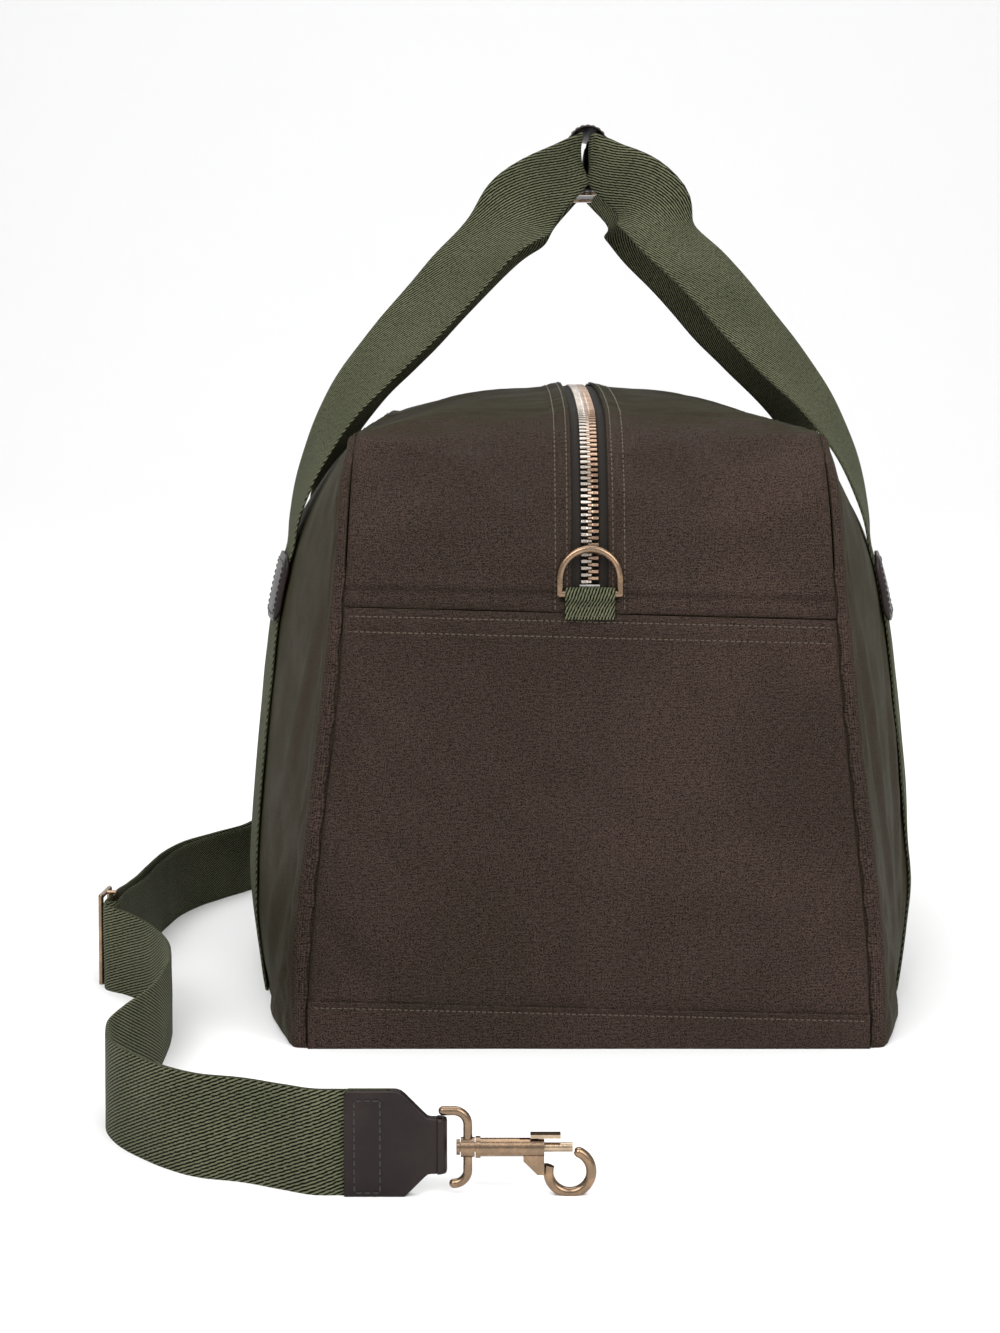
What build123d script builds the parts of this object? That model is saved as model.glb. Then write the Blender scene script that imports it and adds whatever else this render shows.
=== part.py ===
from build123d import *
import math
import os

# A soft weekender bag that stands on the floor, with its shoulder strap laid on edge beside it.
# Millimetres. Origin: centre of the bag's base on the floor. +X right, +Y along the bag, +Z up.

# ---------------------------------------------------------------- bag body
bag_length = 520.0
bag_height = 343.5  # floor to the top of the zip line, half-way along
top_arch_radius = 1800.0  # the top is arched a little along its length
shoulder_level = bag_height - 88.5  # where the end faces start to roll over into the top
seam_level = bag_height - 25.5  # the seam between a side panel and the top
crown_cover = 2.0  # how far the crown arc clears the zip line
# (half width, level) from the floor to the top seam, at the ends and half-way along
end_outline = ((150.0, 0.0), (145.5, 85.0), (133.5, 195.0), (128.7, 265.0), (126.5, seam_level))
middle_outline = ((184.0, 0.0), (197.0, 85.0), (187.5, 195.0), (169.0, 265.0), (128.0, seam_level))
canvas = 2.0
lining_cloth = 0.8
seam_set_in = 3.0  # corner seams lie this far in from the edge of the end faces
hem_level = 25.0  # top of the base panel where it turns up at the ends
yoke_level = 228.0  # seam between an end panel and the top panels
board_thickness = 3.0
board_margin = 5.0

# ---------------------------------------------------------------- zip
zip_slot = 19.0
tape_thickness = 0.8
tape_reach = 18.0  # half width of the tape under the canvas
chain_width = 9.3
chain_gap = 1.2
chain_rise = 1.0  # teeth stand this far above and below the tape
stop_level = 242.0
stop_length = 4.0
stop_width = 10.3
slider_length = 13.0
slider_width = 12.4
slider_plate = 1.5
slider_play = 0.5
neck_thickness = 0.7
crown_loop = 2.5  # width of the loop that carries the pull
pull_length = 27.0
pull_width = 7.0
pull_thickness = 1.4

# ---------------------------------------------------------------- webbing, tabs and handles
webbing_width = 48.0
webbing = 1.8
handle_spacing = 220.0  # between the two legs of one handle
tab_bottom = 212.0
tab_height = 36.0
tab_width = 54.0
tab_leather = 3.0
clear = 0.3  # air between pieces that only lie against each other
grip_centre_x = 5.0
grip_length = 124.0
grip_top = bag_height + 149.5
grip_height = 38.0
grip_bottom = grip_top - grip_height
grip_width = 23.0
grip_foot_width = 13.0
grip_leather = 2.0
folded_webbing = 26.0  # the webbing is cupped to this height inside the grip
strand_offset = 3.2  # from the middle of the grip to each handle's webbing
leg_reach = 14.0  # how far each leg of a handle runs into the grip
leg_join = 2.0  # lap between a leg and the webbing that runs through the grip
snap_diameter = 12.5
snap_pitch = 76.0
snap_cap = 1.4
stud_diameter = 5.0
stud_bite = 0.3  # how far a stud reaches into the flap
stud_slack = 0.8  # the flap's hole is this much wider than the stud's nominal size

# ---------------------------------------------------------------- D-rings on the bag's ends
ring_wire = 3.8
ring_width = 34.5
ring_height = 26.8
ring_level = 239.6
ring_fit = 0.06
ring_tab_width = 25.0
ring_tab_cloth = 1.5
ring_tab_bottom = 226.0
far_ring_lift = 23.0  # degrees that the hook holds the far ring out from the panel

# ---------------------------------------------------------------- shoulder strap
strap_leather = 2.2
end_length = 44.0
end_foot_width = 24.0
taper_end = 4.0  # the leather is narrow from here to the loop
strap_insert = 20.0
layer_offset = 3.2  # from the doubled strap's middle line to each layer
loop_bar = 4.0
loop_height = 35.7
loop_depth = 13.0
boss_diameter = 8.6
boss_length = 6.0
swivel_diameter = 4.0
swivel_fit = 0.06
barrel_diameter = 8.0
barrel_length = 29.5
bolt_diameter = 4.0
bolt_fit = 0.08
hook_radius = 9.2
hook_wire = 4.6
hook_drop = 10.6
hook_axis_level = 23.0
buckle_height = 56.0
buckle_depth = 27.0
buckle_wire = 3.0
square_ring_wire = 4.0
square_ring_depth = 18.0

half_length = bag_length / 2
arch_centre_level = bag_height - top_arch_radius
shoulder_rise = shoulder_level - arch_centre_level
shoulder_radius = (top_arch_radius**2 - half_length**2 - shoulder_rise**2) / (
    2 * (top_arch_radius - half_length)
)
shoulder_y = half_length - shoulder_radius
arch_half_angle = math.atan2(shoulder_y, shoulder_rise)


def save(name, shape):
    export_step(shape, f"parts/{name}.step")


def box(x0, x1, y0, y1, z0, z1):
    """A box between two corners."""
    size = (x1 - x0, y1 - y0, z1 - z0)
    return Pos((x0 + x1) / 2, (y0 + y1) / 2, (z0 + z1) / 2) * Box(*size)


def side_box(side, x0, x1, *rest):
    """A box on the left (-1) or the right (+1) of the bag."""
    return box(*sorted((side * x0, side * x1)), *rest)


def rod(start, end, diameter):
    """A round bar from start to end."""
    axis = Vector(*end) - Vector(*start)
    return extrude(Plane(origin=start, z_dir=axis) * Circle(diameter / 2), axis.length)


def bent_wire(path, diameter):
    """A wire of round section along a path of lines and arcs, with rounded corners."""
    wire = None
    for edge in path.edges():
        run = sweep(Plane(origin=edge @ 0, z_dir=edge % 0) * Circle(diameter / 2), path=edge)
        wire = run if wire is None else wire + run
        wire += Pos(*(edge @ 1)) * Sphere(diameter / 2)
    return wire


def section(y, outline, inset):
    """The bag's cross-section at y, drawn in by inset."""
    points = [(w - inset, z) for w, z in outline]
    points[0] = (points[0][0], inset)
    points[-1] = (points[-1][0], seam_level - inset)
    (foot, _), (top, top_level) = points[0], points[-1]
    crown = bag_height + crown_cover - inset
    edges = [
        Line((-foot, y, inset), (foot, y, inset)),
        Spline(*[(w, y, z) for w, z in points]),
        ThreePointArc((top, y, top_level), (0, y, crown), (-top, y, top_level)),
        Spline(*[(-w, y, z) for w, z in reversed(points)]),
    ]
    return Wire(edges)


def arch_point(radius, angle):
    return (radius * math.sin(angle), arch_centre_level + radius * math.cos(angle))


def length_profile(inset):
    """The bag seen from the side, as an outline in Y and Z drawn in by inset."""
    end_y = half_length - inset
    r = shoulder_radius - inset
    top_r = top_arch_radius - inset
    half = math.radians(90) - arch_half_angle
    turn = arch_half_angle + half / 2
    shoulder = (shoulder_y + r * math.sin(turn), shoulder_level + r * math.cos(turn))
    crest = arch_point(top_r, arch_half_angle)
    outline = [
        Line((-end_y, inset), (end_y, inset)),
        Line((end_y, inset), (end_y, shoulder_level)),
        ThreePointArc((end_y, shoulder_level), shoulder, crest),
        ThreePointArc(crest, (0, bag_height - inset), (-crest[0], crest[1])),
        ThreePointArc((-crest[0], crest[1]), (-shoulder[0], shoulder[1]), (-end_y, shoulder_level)),
        Line((-end_y, shoulder_level), (-end_y, inset)),
    ]
    return make_face(outline)


def profile_slab(inset, x0, x1):
    """The side profile extruded from x0 to x1."""
    return extrude(Plane.YZ.offset(x0) * length_profile(inset), x1 - x0)


def bag_form(inset):
    """The whole bag as a solid block, drawn in (or, below 0, let out) by inset."""
    stations = (-half_length - canvas - 10, 0, half_length + canvas + 10)
    wires = [section(y, end_outline if y else middle_outline, inset) for y in stations]
    width = middle_outline[1][0] + 40
    return Solid.make_loft(wires) & profile_slab(inset, -width, width)


def seam_tool():
    """What lies outside both corner seams, seen from the end."""
    inner = canvas + seam_set_in
    edge = [(w - inner, z) for w, z in end_outline]
    edge[0] = (edge[0][0], -10.0)
    wide = middle_outline[1][0] + 60
    (foot, _), (top, _) = edge[0], edge[-1]
    outline = [
        Spline(*edge),
        Line(edge[-1], (top, bag_height + 60)),
        Line((top, bag_height + 60), (wide, bag_height + 60)),
        Line((wide, bag_height + 60), (wide, -10.0)),
        Line((wide, -10.0), (foot, -10.0)),
    ]
    face = Plane.XZ * make_face(outline)
    right = extrude(face, half_length + 60, both=True)
    return right, mirror(right, about=Plane.YZ)


# ---------------------------------------------------------------- shell, lining and base
def make_shell(outer, inner):
    """The canvas panels, cut from one shell so that their edges meet at the seams."""
    shell = outer - inner
    right_tool, left_tool = seam_tool()
    wide, tall = middle_outline[1][0] + 60, bag_height + 60
    base_slab = box(-wide, wide, -half_length - 9, half_length + 9, -9, canvas)
    walls = shell - base_slab
    panels = {"side_panel_left": walls & left_tool, "side_panel_right": walls & right_tool}
    middle = walls - left_tool - right_tool
    hem = box(-wide, wide, -half_length - 9, half_length + 9, 0, hem_level)
    panels["base_panel"] = (shell & base_slab) + (middle & hem)
    below = middle - hem
    upper = box(-wide, wide, -half_length - 9, half_length + 9, yoke_level, tall)
    ends = below - upper
    panels["end_panel_near"] = ends & box(-wide, wide, -half_length - 9, 0, 0, tall)
    panels["end_panel_far"] = ends & box(-wide, wide, 0, half_length + 9, 0, tall)
    top = below & upper
    slot = zip_slot / 2
    for name, side in (("left", -1), ("right", 1)):
        reach = side_box(side, slot, wide, -half_length - 9, half_length + 9, 0, tall)
        panels[f"top_panel_{name}"] = top & reach
    return panels


def make_lining(inner):
    """The lining, open under the zip tape."""
    core = bag_form(canvas + lining_cloth)
    zip_way = box(
        -tape_reach, tape_reach, -half_length - 9, half_length + 9, yoke_level, bag_height + 9
    )
    return inner - core - zip_way


def make_base_board():
    """The stiff board that lies on the lining, a little smaller than the base."""
    foot_end = end_outline[0][0] - canvas - board_margin
    foot_middle = middle_outline[0][0] - canvas - board_margin
    y = half_length - canvas - board_margin
    right = ThreePointArc((foot_end, -y), (foot_middle, 0), (foot_end, y))
    left = ThreePointArc((-foot_end, y), (-foot_middle, 0), (-foot_end, -y))
    far_edge = Line((foot_end, y), (-foot_end, y))
    near_edge = Line((-foot_end, -y), (foot_end, -y))
    face = make_face([right, far_edge, left, near_edge])
    board = extrude(face, board_thickness)
    board = fillet(board.edges().filter_by(Axis.Z), 20)
    return Pos(0, 0, canvas + lining_cloth) * board


# ---------------------------------------------------------------- zip
def ring_of(inset, thickness, x0, x1):
    """A band that follows the side profile, from x0 to x1."""
    return profile_slab(inset, x0, x1) - profile_slab(inset + thickness, x0, x1)


def make_zip():
    parts = {}
    reach = half_length + 9
    tape_window = box(-99, 99, -reach, reach, yoke_level, bag_height + 9)
    chain_window = box(-99, 99, -reach, reach, stop_level + stop_length / 2, bag_height + 9)
    for name, side in (("left", -1), ("right", 1)):
        tape_x = sorted((side * chain_width / 2, side * tape_reach))
        chain_x = sorted((side * chain_gap / 2, side * chain_width / 2))
        tape = ring_of(canvas, tape_thickness, *tape_x)
        chain = ring_of(canvas - chain_rise, tape_thickness + 2 * chain_rise, *chain_x)
        parts[f"zip_tape_{name}"] = tape & tape_window
        parts[f"zip_chain_{name}"] = chain & chain_window
    stop_inset = canvas - chain_rise - 0.4
    stop_depth = tape_thickness + 2 * chain_rise + 0.4
    for name, side in (("near", -1), ("far", 1)):
        outer_y = side * (half_length - stop_inset)
        y0, y1 = sorted((outer_y, outer_y - side * stop_depth))
        half, low = stop_width / 2, stop_level - stop_length / 2
        stop = box(-half, half, y0, y1, low, low + stop_length)
        for s in (-1, 1):
            stop -= box(
                *sorted((s * chain_width / 2, s * 99)),
                *sorted((side * (half_length - canvas), side * (half_length - canvas - tape_thickness))),
                0,
                bag_height,
            )
        parts[f"zip_stop_{name}"] = stop
    return parts


def local_slider():
    """A slider in its own frame: origin on the chain's outer face, +Y along the chain, +Z out."""
    half, long = slider_width / 2, slider_length
    plate = extrude(Rectangle(slider_width, long), slider_plate)
    plate = fillet(plate.edges().filter_by(Axis.Z), 3)
    chain_depth = tape_thickness + 2 * chain_rise
    upper = Pos(0, 0, slider_play) * plate
    lower = Pos(0, 0, -chain_depth - slider_play - slider_plate) * plate
    neck = box(
        -neck_thickness / 2,
        neck_thickness / 2,
        long / 2 - 4,
        long / 2 - 1,
        -chain_depth - slider_play - 0.1,
        slider_play + 0.1,
    )
    body = upper + lower + neck
    top = slider_play + slider_plate
    wall = half - (chain_width / 2 + slider_play)
    for side in (-1, 1):
        lip = side_box(side, half - wall, half, -long / 2 + 2.6, long / 2 - 2.6, 0, top)
        body += lip - side_box(side, 0, 99, -99, 99, -99, -chain_rise + slider_play)
        body += side_box(
            side,
            half - wall,
            half,
            -long / 2 + 2.6,
            long / 2 - 2.6,
            -chain_depth - slider_play,
            -chain_depth + chain_rise - slider_play,
        )
    loop = box(-crown_loop / 2, crown_loop / 2, -4.2, 4.2, top - 0.1, top + 3.0)
    loop = fillet(loop.edges().filter_by(Axis.X).group_by(Axis.Z)[-1], 1.6)
    loop -= box(-9, 9, -2.4, 2.4, top, top + 1.9)
    return body + loop, top + 0.95


def local_pull(bar_level, direction):
    """The pull in the slider's frame, lying flat towards +Y or -Y."""
    half = pull_width / 2
    plate = box(-half, half, 0, pull_length, -pull_thickness / 2, pull_thickness / 2)
    plate = fillet(plate.edges().filter_by(Axis.Z), 2)
    window = box(-crown_loop / 2 - 0.5, crown_loop / 2 + 0.5, -99, 5.6, -9, 9)
    pull = plate - box(-9, 9, -9, 0.9, -9, 9) - window
    for side in (-1, 1):
        pull += side_box(side, crown_loop / 2 + 0.5, half, -0.6, 2, -pull_thickness / 2, pull_thickness / 2)
    pull += rod((-half, 0, 0), (half, 0, 0), pull_thickness)
    pull = pull if direction > 0 else pull.rotate(Axis.Z, 180)
    return Pos(0, 0, bar_level) * pull


slider_near_angle = arch_half_angle - (slider_length / 2 + 0.4) / top_arch_radius
slider_far_turn = arch_half_angle + (slider_length / 2 + 0.8) / shoulder_radius


def slider_places():
    """Where the two sliders park, nose to nose at the far shoulder."""
    near_y, near_z = arch_point(top_arch_radius - canvas + chain_rise, slider_near_angle)
    near = Pos(0, near_y, near_z) * Rot(-math.degrees(slider_near_angle), 0, 0)
    r = shoulder_radius - canvas + chain_rise
    y = shoulder_y + r * math.sin(slider_far_turn)
    z = shoulder_level + r * math.cos(slider_far_turn)
    far = Pos(0, y, z) * Rot(-math.degrees(slider_far_turn), 0, 0)
    return near, far


def make_sliders():
    near_place, far_place = slider_places()
    slider, bar_level = local_slider()
    facing = slider.rotate(Axis.Z, 180)
    return {
        "zip_slider_near": near_place * slider,
        "zip_pull_near": near_place * local_pull(bar_level, -1),
        "zip_slider_far": far_place * facing,
        "zip_pull_far": far_place * local_pull(bar_level, 1),
    }


# ---------------------------------------------------------------- D-rings and their tabs
def make_ring(side, turn):
    """A D-ring standing on its bar, turned by turn degrees away from the end panel."""
    y = half_length + ring_tab_cloth + ring_wire / 2 + ring_fit
    half = (ring_width - ring_wire) / 2
    straight = ring_height - ring_wire - half
    path = Wire([
        Line((-half, 0), (half, 0)),
        Line((half, 0), (half, straight)),
        ThreePointArc((half, straight), (0, straight + half), (-half, straight)),
        Line((-half, straight), (-half, 0)),
    ])
    ring = bent_wire(Plane.XZ * path, ring_wire)
    ring = ring.rotate(Axis.X, turn if side < 0 else -turn)
    return Pos(0, side * y, ring_level) * ring


def make_ring_tab(side):
    """Webbing folded over the ring's bar and sewn to the end panel."""
    y = half_length + ring_tab_cloth + ring_wire / 2 + ring_fit
    inner = ring_wire / 2 + ring_fit
    outer = inner + ring_tab_cloth
    loop = rod((-ring_tab_width / 2, y, ring_level), (ring_tab_width / 2, y, ring_level), 2 * outer)
    half = ring_tab_width / 2
    underside = ring_level - outer
    tail = box(-half, half, half_length, half_length + 2 * ring_tab_cloth, ring_tab_bottom, underside + 1)
    neck = box(-half, half, half_length, y, underside, ring_level)
    bore = rod((-half - 1, y, ring_level), (half + 1, y, ring_level), 2 * inner)
    tab = (loop + tail + neck) - bore
    return tab if side > 0 else mirror(tab, about=Plane.XZ)


# ---------------------------------------------------------------- handles
strand_level = (grip_top + grip_bottom) / 2 + 1
bulge = middle_outline[3][0] - end_outline[3][0]
side_slope = bulge * handle_spacing / half_length**2  # of the side panels in plan, at the legs


def wall_x(form, y, z):
    """How far out the bag's side is at y and z."""
    hits = form.find_intersection_points(Axis((0, y, z), (1, 0, 0)))
    return max(point.X for point, _ in hits)


def ribbon(stations, thickness):
    """A flat strip through stations of (point, width direction, width)."""
    count = len(stations)
    faces = []
    for i, (point, across, width) in enumerate(stations):
        before, after = stations[max(i - 1, 0)][0], stations[min(i + 1, count - 1)][0]
        along = (Vector(*after) - Vector(*before)).normalized()
        across = Vector(*across)
        across = (across - along * across.dot(along)).normalized()
        place = Plane(origin=point, x_dir=across, z_dir=along)
        faces.append(place * Rectangle(width, thickness))
    return loft(faces, ruled=False)


def leg_stations(start_x, y_sign, grip_x):
    """One leg of the left handle, from its tab to the grip. The webbing turns to face outwards."""
    leg_y = handle_spacing / 2
    top = tab_bottom + tab_height
    grip_z = strand_level
    # (share of the way in, share of the way up, how far the legs draw together, turn in degrees)
    lean_in = (
        (0.0, 0.0, 0, 0),
        (0.013, 0.088, 0, 4),
        (0.047, 0.181, 0, 11),
        (0.106, 0.282, 1, 19),
        (0.189, 0.383, 2.5, 28),
        (0.316, 0.496, 5, 35),
        (0.437, 0.595, 8, 37),
        (0.570, 0.709, 12, 40),
        (0.708, 0.819, 17, 50),
    )
    rise = strand_level - top
    route = [
        (start_x * (share - 1), leg_y - drawn, top + 4 * (up == 0) + rise * up, turn)
        for share, up, drawn, turn in lean_in
    ]
    stations = []
    for i, (x, y, z, turn) in enumerate(route):
        x1, _, z1, _ = route[min(i + 1, len(route) - 1)]
        x0, _, z0, _ = route[max(i - 1, 0)]
        slope = math.atan2(z1 - z0, x1 - x0)
        a = math.radians(turn)
        lean = side_slope * max(0, 1 - i / 4)
        across = (
            math.sin(a) * math.sin(slope) + lean * math.cos(a),
            y_sign * math.cos(a),
            -math.sin(a) * math.cos(slope),
        )
        stations.append(((x, y_sign * y, z), (-across[0], -across[1], -across[2]), webbing_width))
    grip_half = grip_length / 2
    corner = (grip_x - 30, y_sign * (grip_half + 22), grip_z - 14)
    entry = (grip_x - 9, y_sign * (grip_half + 8), grip_z - 4)
    stations.append((corner, (-0.43, 0, 0.9), webbing_width - 2))
    stations.append((entry, (-0.15, 0, 1), (webbing_width + folded_webbing) / 2))
    for inside in (-3, 6, leg_reach):
        place = (grip_x, y_sign * (grip_half - inside), grip_z)
        stations.append((place, (0, 0, 1), folded_webbing))
    return stations


def make_handle(outer_form, webbing_layer, side):
    """One handle: webbing sewn under two tabs and run through the grip."""
    top = tab_bottom + tab_height
    leg_y = handle_spacing / 2
    start_x = wall_x(outer_form, leg_y, top + 4) + webbing / 2
    grip_x = -side * grip_centre_x - strand_offset  # in the left handle's frame
    legs = [ribbon(leg_stations(start_x, y_sign, grip_x), webbing) for y_sign in (-1, 1)]
    inside = grip_length / 2 - leg_reach + leg_join
    run = box(
        grip_x - webbing / 2,
        grip_x + webbing / 2,
        -inside,
        inside,
        strand_level - folded_webbing / 2,
        strand_level + folded_webbing / 2,
    )
    handle = legs[0] + run + legs[1]
    half = webbing_width / 2
    for y_sign in (-1, 1):
        y0, y1 = sorted((y_sign * (leg_y - half), y_sign * (leg_y + half)))
        handle += webbing_layer & box(-300, 0, y0, y1, tab_bottom, top + 4.2)
    return handle if side < 0 else mirror(handle, about=Plane.YZ)


def make_side_trim(outer_form):
    """The webbing sewn up each side, the leather tabs over its top and the two handles."""
    parts = {}
    webbing_form = bag_form(-webbing)
    layer = webbing_form - outer_form
    leather = bag_form(-webbing - tab_leather) - outer_form
    leg_y = handle_spacing / 2
    half = webbing_width / 2
    top = tab_bottom + tab_height
    for side_name, side in (("left", -1), ("right", 1)):
        for end_name, y_sign in (("near", -1), ("far", 1)):
            y0, y1 = sorted((y_sign * (leg_y - half), y_sign * (leg_y + half)))
            strip = layer & side_box(side, 100, 300, y0, y1, canvas, tab_bottom)
            parts[f"side_webbing_{side_name}_{end_name}"] = strip
            t0, t1 = sorted((y_sign * (leg_y - tab_width / 2), y_sign * (leg_y + tab_width / 2)))
            tab = leather & side_box(side, 100, 300, t0, t1, tab_bottom, top)
            under = webbing_form & side_box(side, 100, 300, y0 - 0.05, y1 + 0.05, 0, top + 9)
            parts[f"handle_tab_{side_name}_{end_name}"] = tab - under
    return parts, layer


# ---------------------------------------------------------------- grip wrap
def grip_outline(inset):
    """The grip's cross-section in X and Z: a round top over straight sides that taper."""
    r = grip_width / 2 - inset
    foot = grip_foot_width / 2 - inset
    eaves = grip_top - grip_width / 2
    low = grip_bottom + inset
    outline = [
        ThreePointArc((-r, eaves), (0, eaves + r), (r, eaves)),
        Line((r, eaves), (foot, low)),
        Line((foot, low), (-foot, low)),
        Line((-foot, low), (-r, eaves)),
    ]
    return make_face(outline)


def make_grip():
    """The leather grip: a wrap over the top and a flap that snaps shut under it."""
    half = grip_length / 2
    tube_face = Plane.XZ * (grip_outline(0) - grip_outline(grip_leather))
    tube = extrude(tube_face, half, both=True)
    eaves = grip_top - grip_width / 2
    lip_top = grip_bottom + 2 * grip_leather + clear
    foot = grip_foot_width / 2
    left_side = box(-99, -0.1, -99, 99, 0, eaves)
    wrap = tube - left_side - box(-99, 99, -99, 99, 0, grip_bottom + grip_leather + clear)
    lip = box(-foot + 3.2, foot - 0.6, 6 - half, half - 6, lip_top - grip_leather, lip_top)
    wrap += lip
    left = tube & box(-99, -0.1, -99, 99, grip_bottom, eaves - clear)
    floor = box(-foot, foot - 0.4, -half, half, grip_bottom, grip_bottom + grip_leather)
    flap = left + floor
    studs, caps = Part(), Part()
    shank = (stud_diameter - stud_slack) / 2
    for y in (-snap_pitch / 2, snap_pitch / 2):
        level = grip_bottom + grip_leather
        flap -= rod((0, y, grip_bottom - 1), (0, y, level + 0.1), stud_diameter + stud_slack)
        stud_length = lip_top - level + stud_bite
        stud = Pos(0, y, lip_top - stud_length / 2) * Cylinder(shank, stud_length)
        studs += stud + Pos(0, y, lip_top + 0.4) * Cylinder(2.6, 0.8)
        wrap -= rod((0, y, level), (0, y, lip_top), 2 * shank)
        cap = Pos(0, y, grip_bottom - snap_cap / 2) * Cylinder(snap_diameter / 2, snap_cap)
        cap = fillet(cap.edges().group_by(Axis.Z)[0], snap_cap * 0.6)
        caps += cap
    place = Pos(grip_centre_x, 0, 0)
    return {
        "grip_wrap": place * wrap,
        "grip_flap": place * flap,
        "snap_studs": place * studs,
        "snap_caps": place * caps,
    }


# ---------------------------------------------------------------- strap ends and snap hooks
def local_strap_end():
    """Leather sewn over the strap's end. Frame: origin on the loop's bar, +X to the hook, +Z up."""
    thick = 2 * strap_leather + webbing
    half, foot = webbing_width / 2, end_foot_width / 2
    lift = webbing_width / 2 - hook_axis_level
    chamfer = half - foot
    outline = Polyline(
        (-end_length + 4, -half),
        (-taper_end - chamfer, -half),
        (-taper_end, -foot),
        (1, -foot),
        (1, foot),
        (-taper_end, foot),
        (-taper_end - chamfer, half),
        (-end_length + 4, half),
        close=True,
    )
    face = Plane.XZ * make_face(outline)
    body = extrude(face, thick / 2, both=True)
    roll = rod((0, 0, -foot), (0, 0, foot), loop_bar + 2 * strap_leather)
    body = body & box(-99, 1, -99, 99, -99, 99)
    body += roll
    body -= rod((0, 0, -half - 1), (0, 0, half + 1), loop_bar + 2 * ring_fit)
    gap = webbing / 2 + 0.1
    slot = box(-99, -end_length + 4 + strap_insert, -gap, gap, -half - 1, half + 1)
    return Pos(0, 0, lift) * (body - slot)


def local_loop():
    """The D-loop that the hook swivels in, with its bar at the origin."""
    half = (loop_height - loop_bar) / 2
    corner, bend = 0.6 * loop_bar, 6.0
    path = FilletPolyline(
        (0, 0, -half),
        (0, 0, half),
        (loop_depth, 0, half),
        (loop_depth, 0, -half),
        radius=(corner, corner, bend, bend),
        close=True,
    )
    wire = bent_wire(path, loop_bar)
    boss = rod(
        (loop_depth - boss_length / 2, 0, 0), (loop_depth + boss_length / 2, 0, 0), boss_diameter
    )
    bore = rod((loop_depth - 20, 0, 0), (loop_depth + 20, 0, 0), swivel_diameter + 2 * swivel_fit)
    cut = bore & box(loop_depth - 6, loop_depth + 6, -9, 9, -9, 9)
    return wire + boss - cut


barrel_start = loop_depth + boss_length / 2 + clear
barrel_end = barrel_start + barrel_length
hook_centre_x = barrel_end + 11.0
bolt_travel = 7.0
bolt_tail = barrel_end - 16.0
spring_seat = barrel_start + 2.6


def local_hook():
    """The swivelling hook: stem, barrel and J-shaped hook below the barrel's axis."""
    head_end = loop_depth - boss_length / 2 - clear
    stem = rod((head_end - 0.5, 0, 0), (barrel_start + 0.5, 0, 0), swivel_diameter)
    head = rod((head_end - 1.6, 0, 0), (head_end, 0, 0), swivel_diameter + 2.6)
    barrel = rod((barrel_start, 0, 0), (barrel_end, 0, 0), barrel_diameter)
    collar = rod((barrel_start, 0, 0), (barrel_start + 2.2, 0, 0), barrel_diameter + 1.4)
    centre = (hook_centre_x, 0, -hook_drop)
    start, end = math.radians(163), math.radians(425)

    def at(angle):
        return (
            centre[0] + hook_radius * math.cos(angle),
            0,
            centre[2] + hook_radius * math.sin(angle),
        )

    arc = ThreePointArc(at(start), at((start + end) / 2), at(end))
    tangent = arc.tangent_at(0)
    hook = sweep(Plane(origin=at(start), z_dir=tangent) * Circle(hook_wire / 2), path=arc)
    hook += Pos(*at(end)) * Sphere(hook_wire / 2)
    cheek = box(barrel_end - 9, barrel_end, -hook_wire / 2, hook_wire / 2, -hook_drop - 1, -1)
    cheek = chamfer(cheek.edges().filter_by(Axis.Y).group_by(Axis.X)[0].group_by(Axis.Z)[0], 6)
    bolt_bore = rod((spring_seat, 0, 0), (barrel_end + 3, 0, 0), bolt_diameter + 2 * bolt_fit)
    slot = box(barrel_end - 10.6, barrel_end + 1, -1.5, 1.5, 0, barrel_diameter)
    sweep_way = rod((barrel_end, 0, 0), (barrel_end + 13, 0, 0), bolt_diameter + 1)
    return stem + head + collar + (barrel + hook + cheek - bolt_bore - slot - sweep_way)


def local_bolt():
    """The sprung bolt that shuts the hook, with its thumb plate."""
    tip = hook_centre_x + hook_radius * math.cos(math.radians(425)) - hook_wire / 2 - 0.4
    pin = rod((bolt_tail, 0, 0), (tip, 0, 0), bolt_diameter)
    post = box(barrel_end - 2.4, barrel_end, -1.2, 1.2, 0, barrel_diameter / 2 + 1.4)
    plate = box(
        barrel_end - 6, barrel_end + 7, -2.6, 2.6, barrel_diameter / 2 + 0.4, barrel_diameter / 2 + 2.0
    )
    return pin + post + plate


def local_spring():
    """The bolt's coil spring, in the barrel behind the bolt."""
    start, end = spring_seat + 0.5, bolt_tail - 0.4
    coil = Helix(pitch=(end - start) / 5, height=end - start, radius=1.5)
    wire_end = Plane(origin=coil.position_at(0), z_dir=coil.tangent_at(0)) * Circle(0.25)
    return Pos(start, 0, 0) * Rot(0, 90, 0) * sweep(wire_end, path=coil, is_frenet=True)


near_bar = (-73.0, -500.0, hook_axis_level)
far_ring_y = half_length + ring_tab_cloth + ring_wire / 2 + ring_fit
far_direction = Vector(0.60, -0.06, 0.80).normalized()
far_across = Vector(0.80, 0, -0.60)
far_across = (far_across - far_direction * far_across.dot(far_direction)).normalized()
ring_bow = (ring_width - ring_wire) / 2
pull_angle = math.atan2(far_direction.X, far_direction.Z)
far_reach = ring_height - ring_wire - ring_bow + ring_bow * math.cos(pull_angle)
far_contact = Vector(
    -ring_bow * math.sin(pull_angle),
    far_ring_y + far_reach * math.sin(math.radians(far_ring_lift)),
    ring_level - far_reach * math.cos(math.radians(far_ring_lift)),
)
hook_bite = hook_radius - hook_wire / 2 - ring_wire / 2 - 2 * clear


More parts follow.
